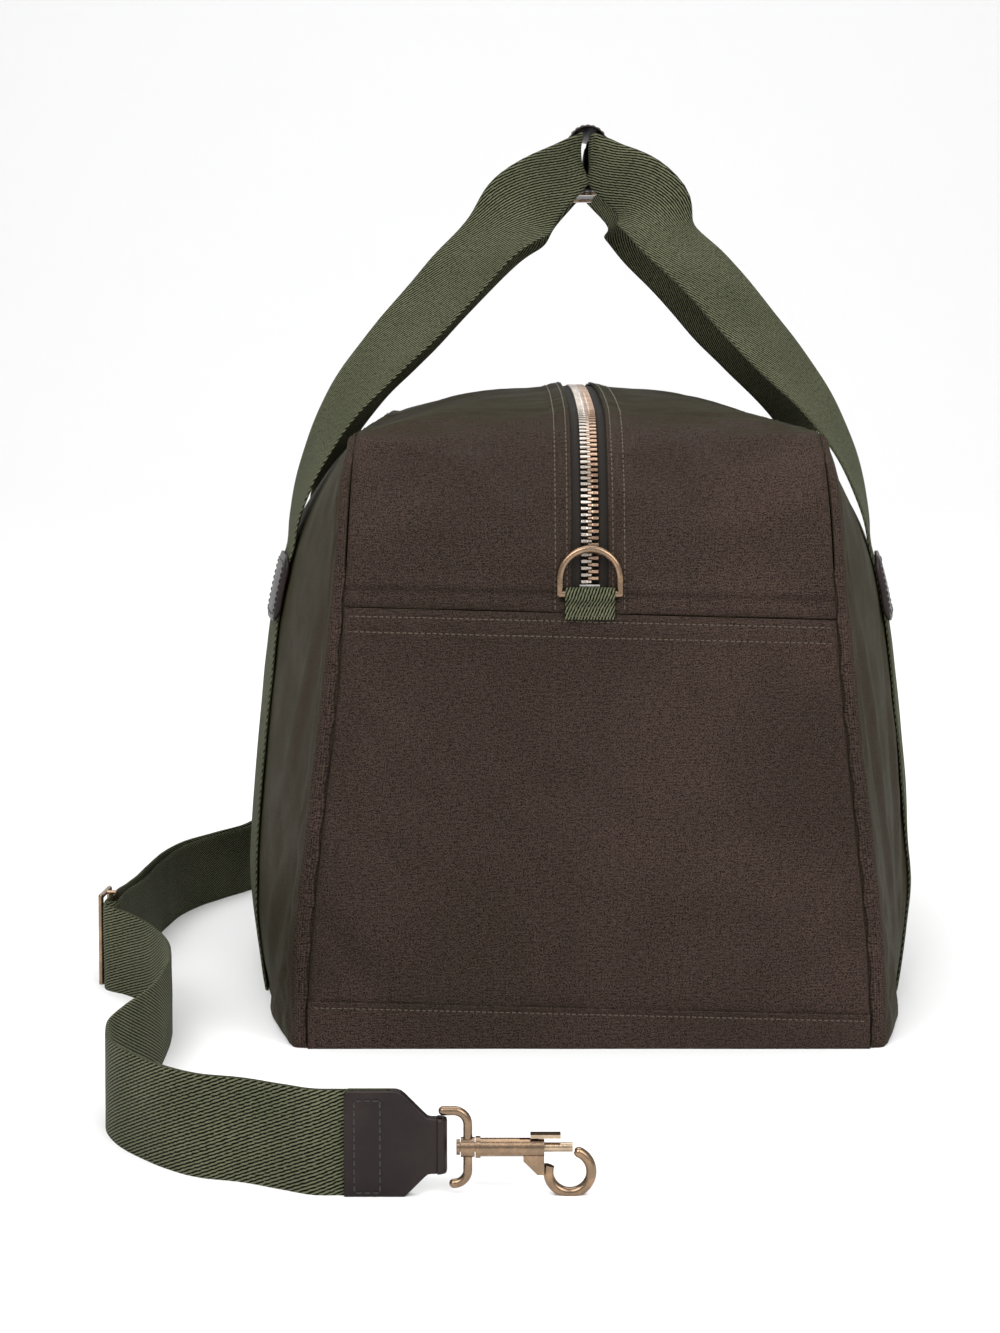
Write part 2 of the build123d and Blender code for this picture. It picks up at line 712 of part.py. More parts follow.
def end_places():
    """Frames of the strap's two ends. At the far one the hook hangs in the bag's ring."""
    near = Plane(origin=near_bar, x_dir=(1, 0, 0), z_dir=(0, 0, 1))
    ring_centre = far_contact - far_direction * hook_bite
    hook_down = -Plane(origin=(0, 0, 0), x_dir=far_direction, z_dir=-far_across).y_dir
    bar = ring_centre - far_direction * hook_centre_x - hook_down * hook_drop
    far = Plane(origin=bar, x_dir=far_direction, z_dir=-far_across)
    return near, far


def make_end(name, plane, swivel):
    """Leather end, D-loop, hook, bolt and spring, with the hook swivelled by some degrees."""
    place = plane.location
    turned = place * Rot(swivel, 0, 0)
    return {
        f"strap_end_{name}": place * local_strap_end(),
        f"hook_loop_{name}": place * local_loop(),
        f"hook_body_{name}": turned * local_hook(),
        f"hook_bolt_{name}": turned * local_bolt(),
        f"bolt_spring_{name}": turned * local_spring(),
    }


# ---------------------------------------------------------------- shoulder webbing and buckle
# Plan route of the webbing as it stands on edge on the floor, from its near leather end
single_route = (
    (-139.0, -493.0),
    (-159.0, -482.0),
    (-178.0, -475.0),
    (-194.0, -462.0),
    (-207.0, -446.0),
    (-219.0, -428.0),
    (-227.0, -408.0),
    (-230.5, -380.0),
    (-227.0, -350.0),
    (-221.0, -320.0),
    (-218.0, -287.0),
    (-218.0, -252.0),
    (-221.0, -220.0),
    (-228.0, -192.0),
    (-239.0, -164.0),
    (-254.0, -144.0),
)
double_route = (
    (-266.0, -120.0),
    (-265.2, -106.0),
    (-264.4, -92.0),
    (-262.5, -62.0),
    (-260.0, -20.0),
    (-257.0, 26.0),
    (-252.0, 64.0),
    (-243.0, 94.0),
    (-229.0, 120.0),
    (-214.0, 147.0),
    (-205.0, 181.0),
    (-200.0, 217.0),
    (-195.0, 250.0),
)


def along_at(stations, i):
    before, after = stations[max(i - 1, 0)][0], stations[min(i + 1, len(stations) - 1)][0]
    return (Vector(*after) - Vector(*before)).normalized()


def shifted(stations, distance):
    """The same strip moved sideways, off its own face, by distance."""
    moved = []
    for i, (point, across, width) in enumerate(stations):
        normal = along_at(stations, i).cross(Vector(*across)).normalized()
        place = Vector(*point) + normal * distance
        moved.append(((place.X, place.Y, place.Z), across, width))
    return moved


def lift_at(y):
    """The slider stands on the floor and holds the webbing inside it a little above."""
    away = abs(y - double_route[1][1])
    share = min(1, max(0, (away - buckle_depth) / webbing_width))
    return (buckle_height - webbing_width) / 2 * (1 - share) * (1 + math.cos(math.pi * share)) / 2


def strap_stations(far):
    """Stations of the single strap and of the doubled strap's middle line."""
    floor_z = webbing_width / 2
    upright = (0, 0, 1)
    start_x = near_bar[0] - end_length + 4 + strap_insert - clear
    straight = [start_x - step for step in (0, 8, 16, 24, 31)]
    single = [((x, near_bar[1], floor_z), upright, webbing_width) for x in straight]
    single += [((x, y, floor_z + lift_at(y)), upright, webbing_width) for x, y in single_route]
    double = [((x, y, floor_z + lift_at(y)), upright, webbing_width) for x, y in double_route]
    lean = far.z_dir
    bar = square_bar(far)
    rise = (
        ((-186, 279, floor_z + 1), 0.03),
        ((-171, 299, floor_z + 8), 0.14),
        ((-150, 307, floor_z + 25), 0.34),
        ((-128, 304, floor_z + 49), 0.60),
    )
    for point, share in rise:
        across = Vector(0, 0, 1) * (1 - share) + lean * share
        double.append((point, tuple(across.normalized()), webbing_width))
    for back in (30.0, 20.0, 10.0, 0.0):
        point = bar - far.x_dir * back
        double.append((tuple(point), tuple(lean), webbing_width))
    return single, double


def square_bar(far):
    """The rear bar of the far end's square ring."""
    lift = webbing_width / 2 - hook_axis_level
    return far.origin - far.x_dir * (end_length - 4 + square_ring_depth) + far.z_dir * lift


def turn_band(centre, axis, towards, inner_radius):
    """The webbing's U-turn round a bar, on the side that towards points to."""
    outer = inner_radius + webbing
    start = centre - axis * (webbing_width / 2)
    place = Plane(origin=start, x_dir=towards, z_dir=axis)
    face = Circle(outer) - Circle(inner_radius)
    face &= Pos(outer / 2, 0) * Rectangle(outer, 2 * outer)
    return extrude(place * face, webbing_width)


def make_strap(far):
    single, double = strap_stations(far)
    outer, inner = shifted(double, -layer_offset), shifted(double, layer_offset)
    join = outer[0][0]
    approach = [((join[0] + 2.0, join[1] - 12.0, join[2]), (0, 0, 1), webbing_width)]
    strap = ribbon(single + approach + outer, webbing)
    strap += ribbon(inner, webbing)
    end_centre, end_axis = Vector(*double[-1][0]), Vector(*double[-1][1])
    strap += turn_band(end_centre, end_axis, far.x_dir, layer_offset - webbing / 2)
    first = Vector(*double[0][0])
    strap += turn_band(first, Vector(0, 0, 1), -along_at(double, 0), layer_offset - webbing / 2)
    return strap, double


def make_buckle(double):
    """The slider on the strap: two outer bars, and a middle bar between the webbing's layers."""
    first, along = Vector(*double[0][0]), along_at(double, 0)
    half_depth = (buckle_depth - buckle_wire) / 2
    half_height = (buckle_height - buckle_wire) / 2
    out = layer_offset + webbing / 2 + clear + buckle_wire / 2
    mid = half_depth + 1.0
    rail = half_height
    left, right = mid - half_depth, mid + half_depth
    frame = Polyline((left, -rail), (right, -rail), (right, rail), (left, rail), close=True)
    path = Plane(origin=(0, out, 0), x_dir=(1, 0, 0), z_dir=(0, -1, 0)) * frame
    ring = bent_wire(path, buckle_wire)
    post = buckle_wire - 0.4
    bar = rod((mid, 0, -rail), (mid, 0, rail), post)
    for s in (-1, 1):
        bar += rod((mid, 0, s * rail), (mid, out, s * rail), post)
        bar += Pos(mid, 0, s * rail) * Sphere(post / 2)
    place = Plane(origin=first, x_dir=along, z_dir=(0, 0, 1)).location
    return place * (ring + bar)


def make_far_keeper(far):
    """The far leather end holds a square ring for the doubled webbing, so it has a second roll."""
    lift = webbing_width / 2 - hook_axis_level
    rear = -end_length + 4
    half = webbing_width / 2
    roll = rod((rear, 0, lift - half), (rear, 0, lift + half), square_ring_wire + 2 * strap_leather)
    bore = rod((rear, 0, -99), (rear, 0, 99), square_ring_wire + 2 * ring_fit)
    fill = box(rear + 1, rear + strap_insert + 1, -webbing, webbing, lift - half, lift + half)
    keeper = far.location * ((local_strap_end() + fill + roll) - bore)
    rail = half + square_ring_wire / 2 + 0.6
    frame = Polyline(
        (rear - square_ring_depth, -rail), (rear, -rail), (rear, rail), (rear - square_ring_depth, rail),
        close=True,
    )
    path = Plane.XZ * frame
    ring = bent_wire(path, square_ring_wire)
    return keeper, far.location * Pos(0, 0, lift) * ring


# ---------------------------------------------------------------- all the parts
def build():
    parts = {}
    outer, inner = bag_form(0), bag_form(canvas)
    parts.update(make_shell(outer, inner))
    parts["lining"] = make_lining(inner)
    parts["base_board"] = make_base_board()
    parts.update(make_zip())
    parts.update(make_sliders())
    for name, side in (("near", -1), ("far", 1)):
        parts[f"ring_tab_{name}"] = make_ring_tab(side)
    parts["d_ring_near"] = make_ring(-1, 0)
    parts["d_ring_far"] = make_ring(1, 180 - far_ring_lift)
    trim, layer = make_side_trim(outer)
    parts.update(trim)
    for name, side in (("left", -1), ("right", 1)):
        parts[f"handle_{name}"] = make_handle(outer, layer, side)
    parts.update(make_grip())
    near, far = end_places()
    parts.update(make_end("near", near, 0))
    parts.update(make_end("far", far, -90))
    keeper, square_ring = make_far_keeper(far)
    parts["strap_end_far"] = keeper
    parts["square_ring"] = square_ring
    strap, double = make_strap(far)
    parts["shoulder_webbing"] = strap
    parts["strap_slider"] = make_buckle(double)
    return parts


os.makedirs("parts", exist_ok=True)
for node, solid in build().items():
    save(node, solid)
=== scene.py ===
"""The weekender bag's looks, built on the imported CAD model. Lengths are millimetres until a mesh is made."""

import math

import bpy
import numpy as np
from mathutils import Matrix, Vector, noise
from mathutils.bvhtree import BVHTree


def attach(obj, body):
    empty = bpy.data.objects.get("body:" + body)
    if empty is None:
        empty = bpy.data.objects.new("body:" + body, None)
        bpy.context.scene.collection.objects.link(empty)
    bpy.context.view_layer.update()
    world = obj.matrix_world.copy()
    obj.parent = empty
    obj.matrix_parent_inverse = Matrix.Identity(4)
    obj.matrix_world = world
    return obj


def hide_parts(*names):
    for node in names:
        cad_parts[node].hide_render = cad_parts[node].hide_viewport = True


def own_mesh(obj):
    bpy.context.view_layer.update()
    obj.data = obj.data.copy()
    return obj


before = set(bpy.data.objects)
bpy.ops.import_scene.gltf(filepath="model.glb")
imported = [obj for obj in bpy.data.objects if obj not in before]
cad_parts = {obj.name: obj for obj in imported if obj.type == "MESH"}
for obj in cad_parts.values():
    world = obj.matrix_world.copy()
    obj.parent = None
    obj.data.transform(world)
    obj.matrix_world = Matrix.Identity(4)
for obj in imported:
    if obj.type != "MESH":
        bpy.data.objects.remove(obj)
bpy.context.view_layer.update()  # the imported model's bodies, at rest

MM = 0.001
scene = bpy.context.scene

# ---------------------------------------------------------------- the CAD model's own dimensions
bag_length = 520.0
bag_height = 343.5
top_arch_radius = 1800.0
shoulder_level = 255.0
seam_level = 318.0
crown_level = 345.5
end_outline = ((150.0, 0.0), (145.5, 85.0), (133.5, 195.0), (128.7, 265.0), (126.5, seam_level))
middle_outline = ((184.0, 0.0), (197.0, 85.0), (187.5, 195.0), (169.0, 265.0), (128.0, seam_level))
loft_reach = 272.0
seam_in = 5.0
hem_level = 21.5
yoke_level = 229.0
seam_tilt = -0.025  # the sewn rows across the end drop towards the right
zip_slot = 19.0
canvas = 2.0
webbing_width = 48.0
webbing = 1.8
handle_spacing = 220.0
tab_bottom = 212.0
tab_height = 36.0
tab_width = 54.0

half_length = bag_length / 2
arch_centre = bag_height - top_arch_radius
shoulder_rise = shoulder_level - arch_centre
shoulder_radius = (top_arch_radius**2 - half_length**2 - shoulder_rise**2) / (
    2 * (top_arch_radius - half_length)
)
shoulder_y = half_length - shoulder_radius
arch_half_angle = math.atan2(shoulder_y, shoulder_rise)


# ---------------------------------------------------------------- mesh helpers
def mesh_object(name, points, faces, uvs=None, smooth=True):
    """An object from points in millimetres; uvs are per point, also in millimetres."""
    mesh = bpy.data.meshes.new(name)
    mesh.from_pydata((np.asarray(points, float) * MM).tolist(), [], [list(map(int, f)) for f in faces])
    if uvs is not None:
        layer = mesh.uv_layers.new(name="cloth")
        corner = np.zeros(len(mesh.loops), int)
        mesh.loops.foreach_get("vertex_index", corner)
        layer.data.foreach_set("uv", (np.asarray(uvs, float)[corner] * MM).ravel())
    mesh.polygons.foreach_set("use_smooth", [smooth] * len(mesh.polygons))
    mesh.update()
    made = bpy.data.objects.new(name, mesh)
    scene.collection.objects.link(made)
    return made


def grid_faces(rows, cols, around=False, first=0, flip=False):
    """Quads of a grid of rows x cols points; around joins the last column to the first."""
    faces = []
    for r in range(rows - 1):
        for c in range(cols if around else cols - 1):
            d = (c + 1) % cols
            quad = (r * cols + c, r * cols + d, (r + 1) * cols + d, (r + 1) * cols + c)
            faces.append(tuple(first + i for i in (quad[::-1] if flip else quad)))
    return faces


def grid_normals(grid):
    """Unit normals of a grid of points."""
    across = np.gradient(grid, axis=1)
    along = np.gradient(grid, axis=0)
    normal = np.cross(across, along)
    return normal / np.maximum(np.linalg.norm(normal, axis=2, keepdims=True), 1e-9)


def finish_piece(piece, material, body, slot, *nodes):
    """Gives a piece its material and its body, and hides the CAD nodes that it stands for; slot is not used."""
    piece.data.materials.clear()
    piece.data.materials.append(material)
    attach(piece, body)
    if nodes:
        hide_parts(*nodes)
    return piece


def add_modifier(piece, kind, **settings):
    modifier = piece.modifiers.new(kind.lower(), kind)
    for key, value in settings.items():
        setattr(modifier, key, value)
    return modifier


def spaced(length, fine, coarse, marks=()):
    """Positions from 0 to length, fine apart at both ends and at the marks, and coarse elsewhere."""
    places, at = [0.0], 0.0
    stops = [0.0, length, *marks]
    while at < length - 1e-6:
        near = min(abs(at - stop) for stop in stops)
        ahead = min((stop - at for stop in stops if stop > at + 1e-6), default=length - at)
        step = min(fine + 0.35 * max(0.0, near - 4 * fine), coarse)
        at = min(at + min(step, max(ahead, fine)), length)
        places.append(at)
    return np.array(places)


# ---------------------------------------------------------------- the bag's form
def smooth_outline(outline):
    """The outline's half width as a function of the level."""
    widths, levels = zip(*outline)
    return np.polynomial.Polynomial.fit(levels, widths, len(outline) - 1)


end_half = smooth_outline(end_outline)
middle_half = smooth_outline(middle_outline)


def half_width(y, z):
    level = np.minimum(z, seam_level + 2)
    return end_half(level) + (middle_half(level) - end_half(level)) * (1 - (y / loft_reach) ** 2)


def seam_half(z):
    """Half width of the end and top panels, from corner seam to corner seam."""
    return end_half(np.minimum(z, seam_level)) - seam_in


def side_profile():
    """Rows of (y, z, normal y, normal z) from the near foot over the top to the far foot."""
    rows = [(-half_length, z, -1.0, 0.0) for z in np.arange(0, shoulder_level, 1.0)]
    for a in np.linspace(math.pi / 2, arch_half_angle, 120, endpoint=False):
        sine, cosine = math.sin(a), math.cos(a)
        y = -shoulder_y - shoulder_radius * sine
        z = shoulder_level + shoulder_radius * cosine
        rows.append((y, z, -sine, cosine))
    for a in np.linspace(-arch_half_angle, 0, 190):
        sine, cosine = math.sin(a), math.cos(a)
        rows.append((top_arch_radius * sine, arch_centre + top_arch_radius * cosine, sine, cosine))
    near = np.array(rows)
    far = near[-2::-1] * (-1, 1, -1, 1)
    return np.vstack([near, far])


profile = side_profile()
profile_run = np.concatenate([[0], np.cumsum(np.hypot(*np.diff(profile[:, :2], axis=0).T))])
profile_length = profile_run[-1]


def on_profile(s):
    return tuple(np.interp(s, profile_run, profile[:, i]) for i in range(4))


crown_radius = (end_outline[-1][0] ** 2 + (crown_level - seam_level) ** 2) / (2 * (crown_level - seam_level))


def crown(x):
    """Level of the top's crown across the bag."""
    return crown_level - crown_radius + np.sqrt(crown_radius**2 - x**2)


def soft_min(a, b, blend):
    low = np.minimum(a, b)
    return low - blend * np.log(np.exp(-(a - low) / blend) + np.exp(-(b - low) / blend))


def gusset(across, s):
    """A point of the band that runs up the near end, over the top and down the far end."""
    y, z, _, _ = on_profile(s)
    x = across * seam_half(z)
    return np.stack([x, y + 0 * x, soft_min(z + 0 * x, crown(x), 1.6)], axis=-1)


seam_top = float(crown(seam_half(np.array(seam_level))))
side_rim = profile[(profile[:, 1] <= seam_top)]
rim_near = side_rim[side_rim[:, 0] < 0][:, :2]
rim_far = side_rim[side_rim[:, 0] > 0][::-1, :2]


def rim_at(rim, share):
    run = np.concatenate([[0], np.cumsum(np.hypot(*np.diff(rim, axis=0).T))])
    return np.stack([np.interp(share * run[-1], run, rim[:, i]) for i in range(2)], axis=-1)


def side_region(a, b):
    """(y, z) inside the side panel's outline: a from near to far, b from the floor to the top seam."""
    near, far = rim_at(rim_near, b), rim_at(rim_far, b)
    start, end = rim_near[-1], rim_far[-1]
    foot = np.stack([half_length * (2 * a - 1), 0 * a], axis=-1)
    head = start + (end - start) * a[..., None]
    a1, b1 = a[..., None], b[..., None]
    edges = near * (1 - a1) + far * a1 + foot * (1 - b1) + head * b1
    corners = (
        rim_near[0] * (1 - a1) * (1 - b1) + rim_far[0] * a1 * (1 - b1) + start * (1 - a1) * b1 + end * a1 * b1
    )
    return edges - corners


def rim_distance(y, z):
    """How far a point of the side panel is from its sewn rim, leaving out the foot."""
    top = np.stack([np.linspace(rim_near[-1][0], rim_far[-1][0], 200), np.full(200, seam_top)], axis=-1)
    rim = np.vstack([rim_near, top, rim_far])
    spot = np.stack([y, z], axis=-1)
    least = np.full(y.shape, 1e9)
    for point in rim:
        least = np.minimum(least, np.hypot(*(spot - point).transpose(2, 0, 1)))
    return least


corner_roll = 13.0
foot_roll = 7.0


def side_wall(a, b, side):
    """A point of the side panel; it rolls in to the corner seams and under at the floor."""
    region = side_region(a, b)
    y, z = region[..., 0], region[..., 1]
    away = np.clip(1 - rim_distance(y, z) / corner_roll, 0, 1)
    inset = half_width(y, z) - seam_half(z)
    x = half_width(y, z) - inset * (1 - np.sqrt(1 - away**2 * 0.999))
    under = np.clip(1 - z / foot_roll, 0, 1)
    x = x - 3.5 * (1 - np.sqrt(1 - under**2 * 0.999))
    return np.stack([side * x, y, z], axis=-1)


# ---------------------------------------------------------------- settling the canvas
def settle(points, flip, grow, load, cap, frames=16, stiff=4.0):
    """Cloth simulation of a panel whose edges are sewn down. Returns how far each point moved."""
    rows, cols = points.shape[:2]
    sim = mesh_object("settling", points.reshape(-1, 3), grid_faces(rows, cols, flip=flip))
    sewn = sim.vertex_groups.new(name="sewn")
    inside = np.zeros((rows, cols), bool)
    inside[1:-1, 1:-1] = True
    sewn.add([int(i) for i in np.flatnonzero(~inside.ravel())], 1.0, "REPLACE")
    cloth = add_modifier(sim, "CLOTH")
    cloth.point_cache.frame_start = 1
    cloth.point_cache.frame_end = frames
    cloth.collision_settings.use_collision = False
    setting = cloth.settings
    setting.quality = 5
    setting.mass = 0.35
    setting.tension_stiffness = 15
    setting.compression_stiffness = 15
    setting.shear_stiffness = 5
    setting.bending_stiffness = stiff
    setting.tension_damping = 10
    setting.compression_damping = 10
    setting.bending_damping = 5
    setting.vertex_group_mass = "sewn"
    setting.shrink_min = -grow
    setting.use_pressure = load != 0
    setting.uniform_pressure_force = load
    for number in range(1, frames + 1):
        scene.frame_set(number)
    moved = np.zeros(rows * cols * 3)
    worn = sim.evaluated_get(bpy.context.evaluated_depsgraph_get())
    worn.data.vertices.foreach_get("co", moved)
    scene.frame_set(1)
    bpy.data.objects.remove(sim)
    shift = moved.reshape(points.shape) / MM - points
    size = np.linalg.norm(shift, axis=2, keepdims=True)
    return shift / (1 + size / cap)


def sample_grid(field, rows, cols):
    """Values of a coarse grid at fractional rows and columns, joined by smooth curves."""
    r, c = np.meshgrid(rows * (field.shape[0] - 1), cols * (field.shape[1] - 1), indexing="ij")

    def weights(t):
        return (
            -0.5 * t + t**2 - 0.5 * t**3,
            1 - 2.5 * t**2 + 1.5 * t**3,
            0.5 * t + 2 * t**2 - 1.5 * t**3,
            -0.5 * t**2 + 0.5 * t**3,
        )

    r0, c0 = np.floor(r).astype(int), np.floor(c).astype(int)
    wr, wc = weights(r - r0), weights(c - c0)
    total = np.zeros((*r.shape, field.shape[2]))
    for i in range(4):
        ri = np.clip(r0 + i - 1, 0, field.shape[0] - 1)
        for j in range(4):
            ci = np.clip(c0 + j - 1, 0, field.shape[1] - 1)
            total += (wr[i] * wc[j])[..., None] * field[ri, ci]
    return total


def bump(distance, width):
    return np.exp(-((distance / width) ** 2))


def line_distance(u, v, start, end):
    """Distance of points to a line, and how far along it they are from 0 to 1."""
    du, dv = end[0] - start[0], end[1] - start[1]
    length = math.hypot(du, dv)
    along = ((u - start[0]) * du + (v - start[1]) * dv) / length**2
    apart = ((u - start[0]) * dv - (v - start[1]) * du) / length
    over = np.maximum(0, np.maximum(-along, along - 1)) * length
    return np.hypot(apart, over * 0.6), np.clip(along, 0, 1), apart


def folds(u, v, lines):
    """Soft folds of the cloth along lines: (start, end, width, height)."""
    total = np.zeros(u.shape)
    for start, end, width, height in lines:
        away, along, apart = line_distance(u, v, start, end)
        total += height * np.sin(np.pi * np.clip(along * 0.9 + 0.05, 0, 1)) * bump(away, width)
        total -= 0.45 * height * bump(np.hypot(away, 0) - 2.1 * width, 0.8 * width) * (apart > 0)
    return total


def ripple(u, v, scale, seed):
    """Smooth noise over the cloth, from about -1 to 1."""
    flat = [
        noise.noise(Vector((a / scale, b / scale, seed * 7.31))) for a, b in zip(u.ravel(), v.ravel())
    ]
    return np.array(flat).reshape(u.shape)


def seam_lip(distance, height=1.0):
    """A sewn edge: the cloth dips into the seam and stands up beside it over the seam allowance."""
    return height * (1.1 * bump(distance - 4.2, 2.4) - 1.5 * bump(distance, 1.5))


panel_objects = {}
bag_middle = np.array([0.0, 0.0, 150.0])


def panel(name, place, a_size, b_size, a_marks, b_marks, relief, material, nodes, **how):
    """One canvas panel. place(a, b) gives its points for shares a and b; relief(u, v) its fine shape."""
    cell = 7.0
    coarse_a = np.linspace(0, 1, max(6, round(a_size / cell) + 1))
    coarse_b = np.linspace(0, 1, max(6, round(b_size / cell) + 1))
    coarse = place(*np.meshgrid(coarse_a, coarse_b))
    flip = bool((grid_normals(coarse) * (coarse - bag_middle)).sum() < 0)
    shift = settle(coarse, flip, **how)
    fine_a = spaced(a_size, 1.1, 4.0, a_marks) / a_size
    fine_b = spaced(b_size, 1.1, 4.0, b_marks) / b_size
    fa, fb = np.meshgrid(fine_a, fine_b)
    points = place(fa, fb)
    moved = sample_grid(shift, fine_b, fine_a)
    normals = grid_normals(points) * (-1 if flip else 1)
    points = points + moved + normals * relief(fa * a_size, fb * b_size)[..., None]
    rows, cols = points.shape[:2]
    uvs = np.stack([fa * a_size, fb * b_size], axis=-1).reshape(-1, 2)
    made = mesh_object(name, points.reshape(-1, 3), grid_faces(rows, cols, flip=flip), uvs)
    add_modifier(made, "SOLIDIFY", thickness=1.6 * MM, offset=-1.0)
    finish_piece(made, material, "bag", "canvas", *nodes)
    panel_objects[name] = made
    return made


# ---------------------------------------------------------------- materials
class Shader:
    """A node material being put together: each call adds one node and returns its first output."""

    def __init__(self, name):
        self.material = bpy.data.materials.new(name)
        self.material.use_nodes = True
        self.tree = self.material.node_tree
        self.surface = self.tree.nodes["Principled BSDF"]

    def node(self, kind, inputs=(), output=0, **settings):
        made = self.tree.nodes.new("ShaderNode" + kind)
        for key, value in settings.items():
            setattr(made, key, value)
        for key, value in dict(inputs).items():
            self.put(made.inputs[key], value)
        return made.outputs[output]

    def put(self, socket, value):
        if isinstance(value, bpy.types.NodeSocket):
            self.tree.links.new(value, socket)
        else:
            socket.default_value = value

    def set(self, **inputs):
        for key, value in inputs.items():
            self.put(self.surface.inputs[key.replace("_", " ")], value)

    def math(self, operation, a, b=0.5, c=0.5, clamp=False):
        return self.node("Math", {0: a, 1: b, 2: c}, operation=operation, use_clamp=clamp)

    def cloth(self):
        """The piece's own cloth coordinates, in metres."""
        return self.node("UVMap", uv_map="cloth")

    def place(self):
        return self.node("TexCoord", output=3)

    def noise(self, at, scale, detail=3.0, roughness=0.55, distortion=0.0):
        return self.node(
            "TexNoise",
            {
                "Vector": at,
                "Scale": scale,
                "Detail": detail,
                "Roughness": roughness,
                "Distortion": distortion,
            },
        )

    def stretch(self, at, x=1.0, y=1.0, z=1.0, turn=0.0):
        return self.node("Mapping", {"Vector": at, "Scale": (x, y, z), "Rotation": (0, 0, turn)})

    def threads(self, at, count, axis="X"):
        """Ridges of threads, count to the metre."""
        scale = count * math.pi / (5 if axis == "DIAGONAL" else 10)
        inputs = {"Vector": at, "Scale": scale, "Distortion": 0.6, "Detail": 1.0, "Detail Scale": 2.0}
        return self.node("TexWave", inputs, 1, bands_direction=axis)

    def between(self, share, low, high):
        """A colour between two, by a share from 0 to 1."""
        return self.node("Mix", {"Factor": share, 6: (*low, 1), 7: (*high, 1)}, 2, data_type="RGBA")

    def blend(self, share, low, high):
        return self.node("Mix", {"Factor": share, 6: low, 7: high}, 2, data_type="RGBA")

    def ramp(self, value, low, high, smooth=True):
        """0 below low, 1 above high."""
        kind = "SMOOTHSTEP" if smooth else "LINEAR"
        return self.node(
            "MapRange",
            {"Value": value, "From Min": low, "From Max": high},
            interpolation_type=kind,
            clamp=True,
        )

    def relief(self, height, depth, strength=1.0, under=None):
        """A bump of the given depth in millimetres."""
        inputs = {"Height": height, "Distance": depth * MM, "Strength": strength}
        if under is not None:
            inputs["Normal"] = under
        return self.node("Bump", inputs)


def canvas_material():
    """Waxed cotton: a fine weave, brown where it faces the viewer; towards grazing angles a painted green-brown
    sheen is mixed into its colour.
    """
    s = Shader("waxed_canvas")
    cloth = s.cloth()
    warp, weft = s.threads(cloth, 1500, "X"), s.threads(cloth, 1300, "Y")
    weave = s.math("MAXIMUM", warp, weft)
    speckle = s.noise(s.stretch(cloth, 1.0, 1.25, 1.0), 1350, 2.0, 0.85)
    slub = s.noise(s.stretch(cloth, 0.6, 1.5, 1.0), 520, 2.0, 0.6)
    grain = s.math("ADD", s.math("MULTIPLY", speckle, 0.70), s.math("MULTIPLY", slub, 0.16))
    grain = s.math("ADD", grain, s.math("MULTIPLY", weave, 0.11))
    mottled = s.between(s.ramp(grain, 0.445, 0.575, False), (0.0010, 0.0004, 0.0003), (0.062, 0.0410, 0.0325))
    patch = s.ramp(s.noise(s.place(), 9.0, 4.0, 0.6, 0.4), 0.38, 0.66)
    rubbed = s.between(patch, (0.85, 0.88, 0.84), (1.12, 1.09, 1.10))
    base = s.node("Mix", {"Factor": 1.0, 6: mottled, 7: rubbed}, 2, data_type="RGBA", blend_type="MULTIPLY")
    # painted sheen: a green-brown colour mixed into the base colour towards grazing angles, by the Layer Weight
    # facing output
    painted_sheen_mask = s.ramp(s.node("LayerWeight", {"Blend": 0.5}, 1), 0.35, 0.98)
    painted_sheen_colour = s.between(s.ramp(grain, 0.43, 0.60, False), (0.0020, 0.0015, 0.0006), (0.028, 0.0225, 0.0085))
    s.set(Base_Color=s.blend(painted_sheen_mask, base, painted_sheen_colour))
    dull = s.ramp(s.noise(s.place(), 30.0, 3.0, 0.6), 0.3, 0.7)
    s.set(Roughness=s.math("MULTIPLY_ADD", dull, 0.14, 0.62))
    s.set(Sheen_Weight=0.03, Sheen_Roughness=0.45, Sheen_Tint=(0.74, 0.70, 0.40, 1), Specular_IOR_Level=0.06)
    fine = s.relief(weave, 0.10, 0.55)
    s.set(Normal=s.relief(speckle, 0.12, 0.4, fine))
    return s.material


def webbing_material(name="webbing", dark=(0.0008, 0.0010, 0.0003), light=(0.118, 0.122, 0.074)):
    """Thick twill webbing: flecks of light yarn in slanting rows, with a firm edge."""
    s = Shader(name)
    cloth = s.cloth()
    rows = s.threads(s.stretch(cloth, 1.0, 0.42, 1.0, 0.0), 620, "DIAGONAL")
    yarn = s.threads(cloth, 640, "X")
    fleck = s.noise(s.stretch(cloth, 1.0, 0.55, 1.0, 0.5), 900, 2.0, 0.7)
    mix = s.math("ADD", s.math("MULTIPLY", rows, 0.46), s.math("MULTIPLY", fleck, 0.72))
    mix = s.math("ADD", mix, s.math("MULTIPLY", yarn, 0.12))
    colour = s.between(s.ramp(mix, 0.54, 0.80, False), dark, light)
    worn = s.ramp(s.noise(s.place(), 26.0, 3.0, 0.6), 0.3, 0.75)
    shade = s.between(worn, (0.86, 0.88, 0.84), (1.1, 1.1, 1.08))
    worn_colour = s.node("Mix", {"Factor": 1.0, 6: colour, 7: shade}, 2, data_type="RGBA", blend_type="MULTIPLY")
    s.set(Base_Color=worn_colour)
    s.set(Roughness=0.78, Sheen_Weight=0.02, Sheen_Roughness=0.5, Specular_IOR_Level=0.06)
    s.set(Sheen_Tint=(0.7, 0.74, 0.55, 1))
    s.set(Normal=s.relief(mix, 0.35, 0.8))
    return s.material


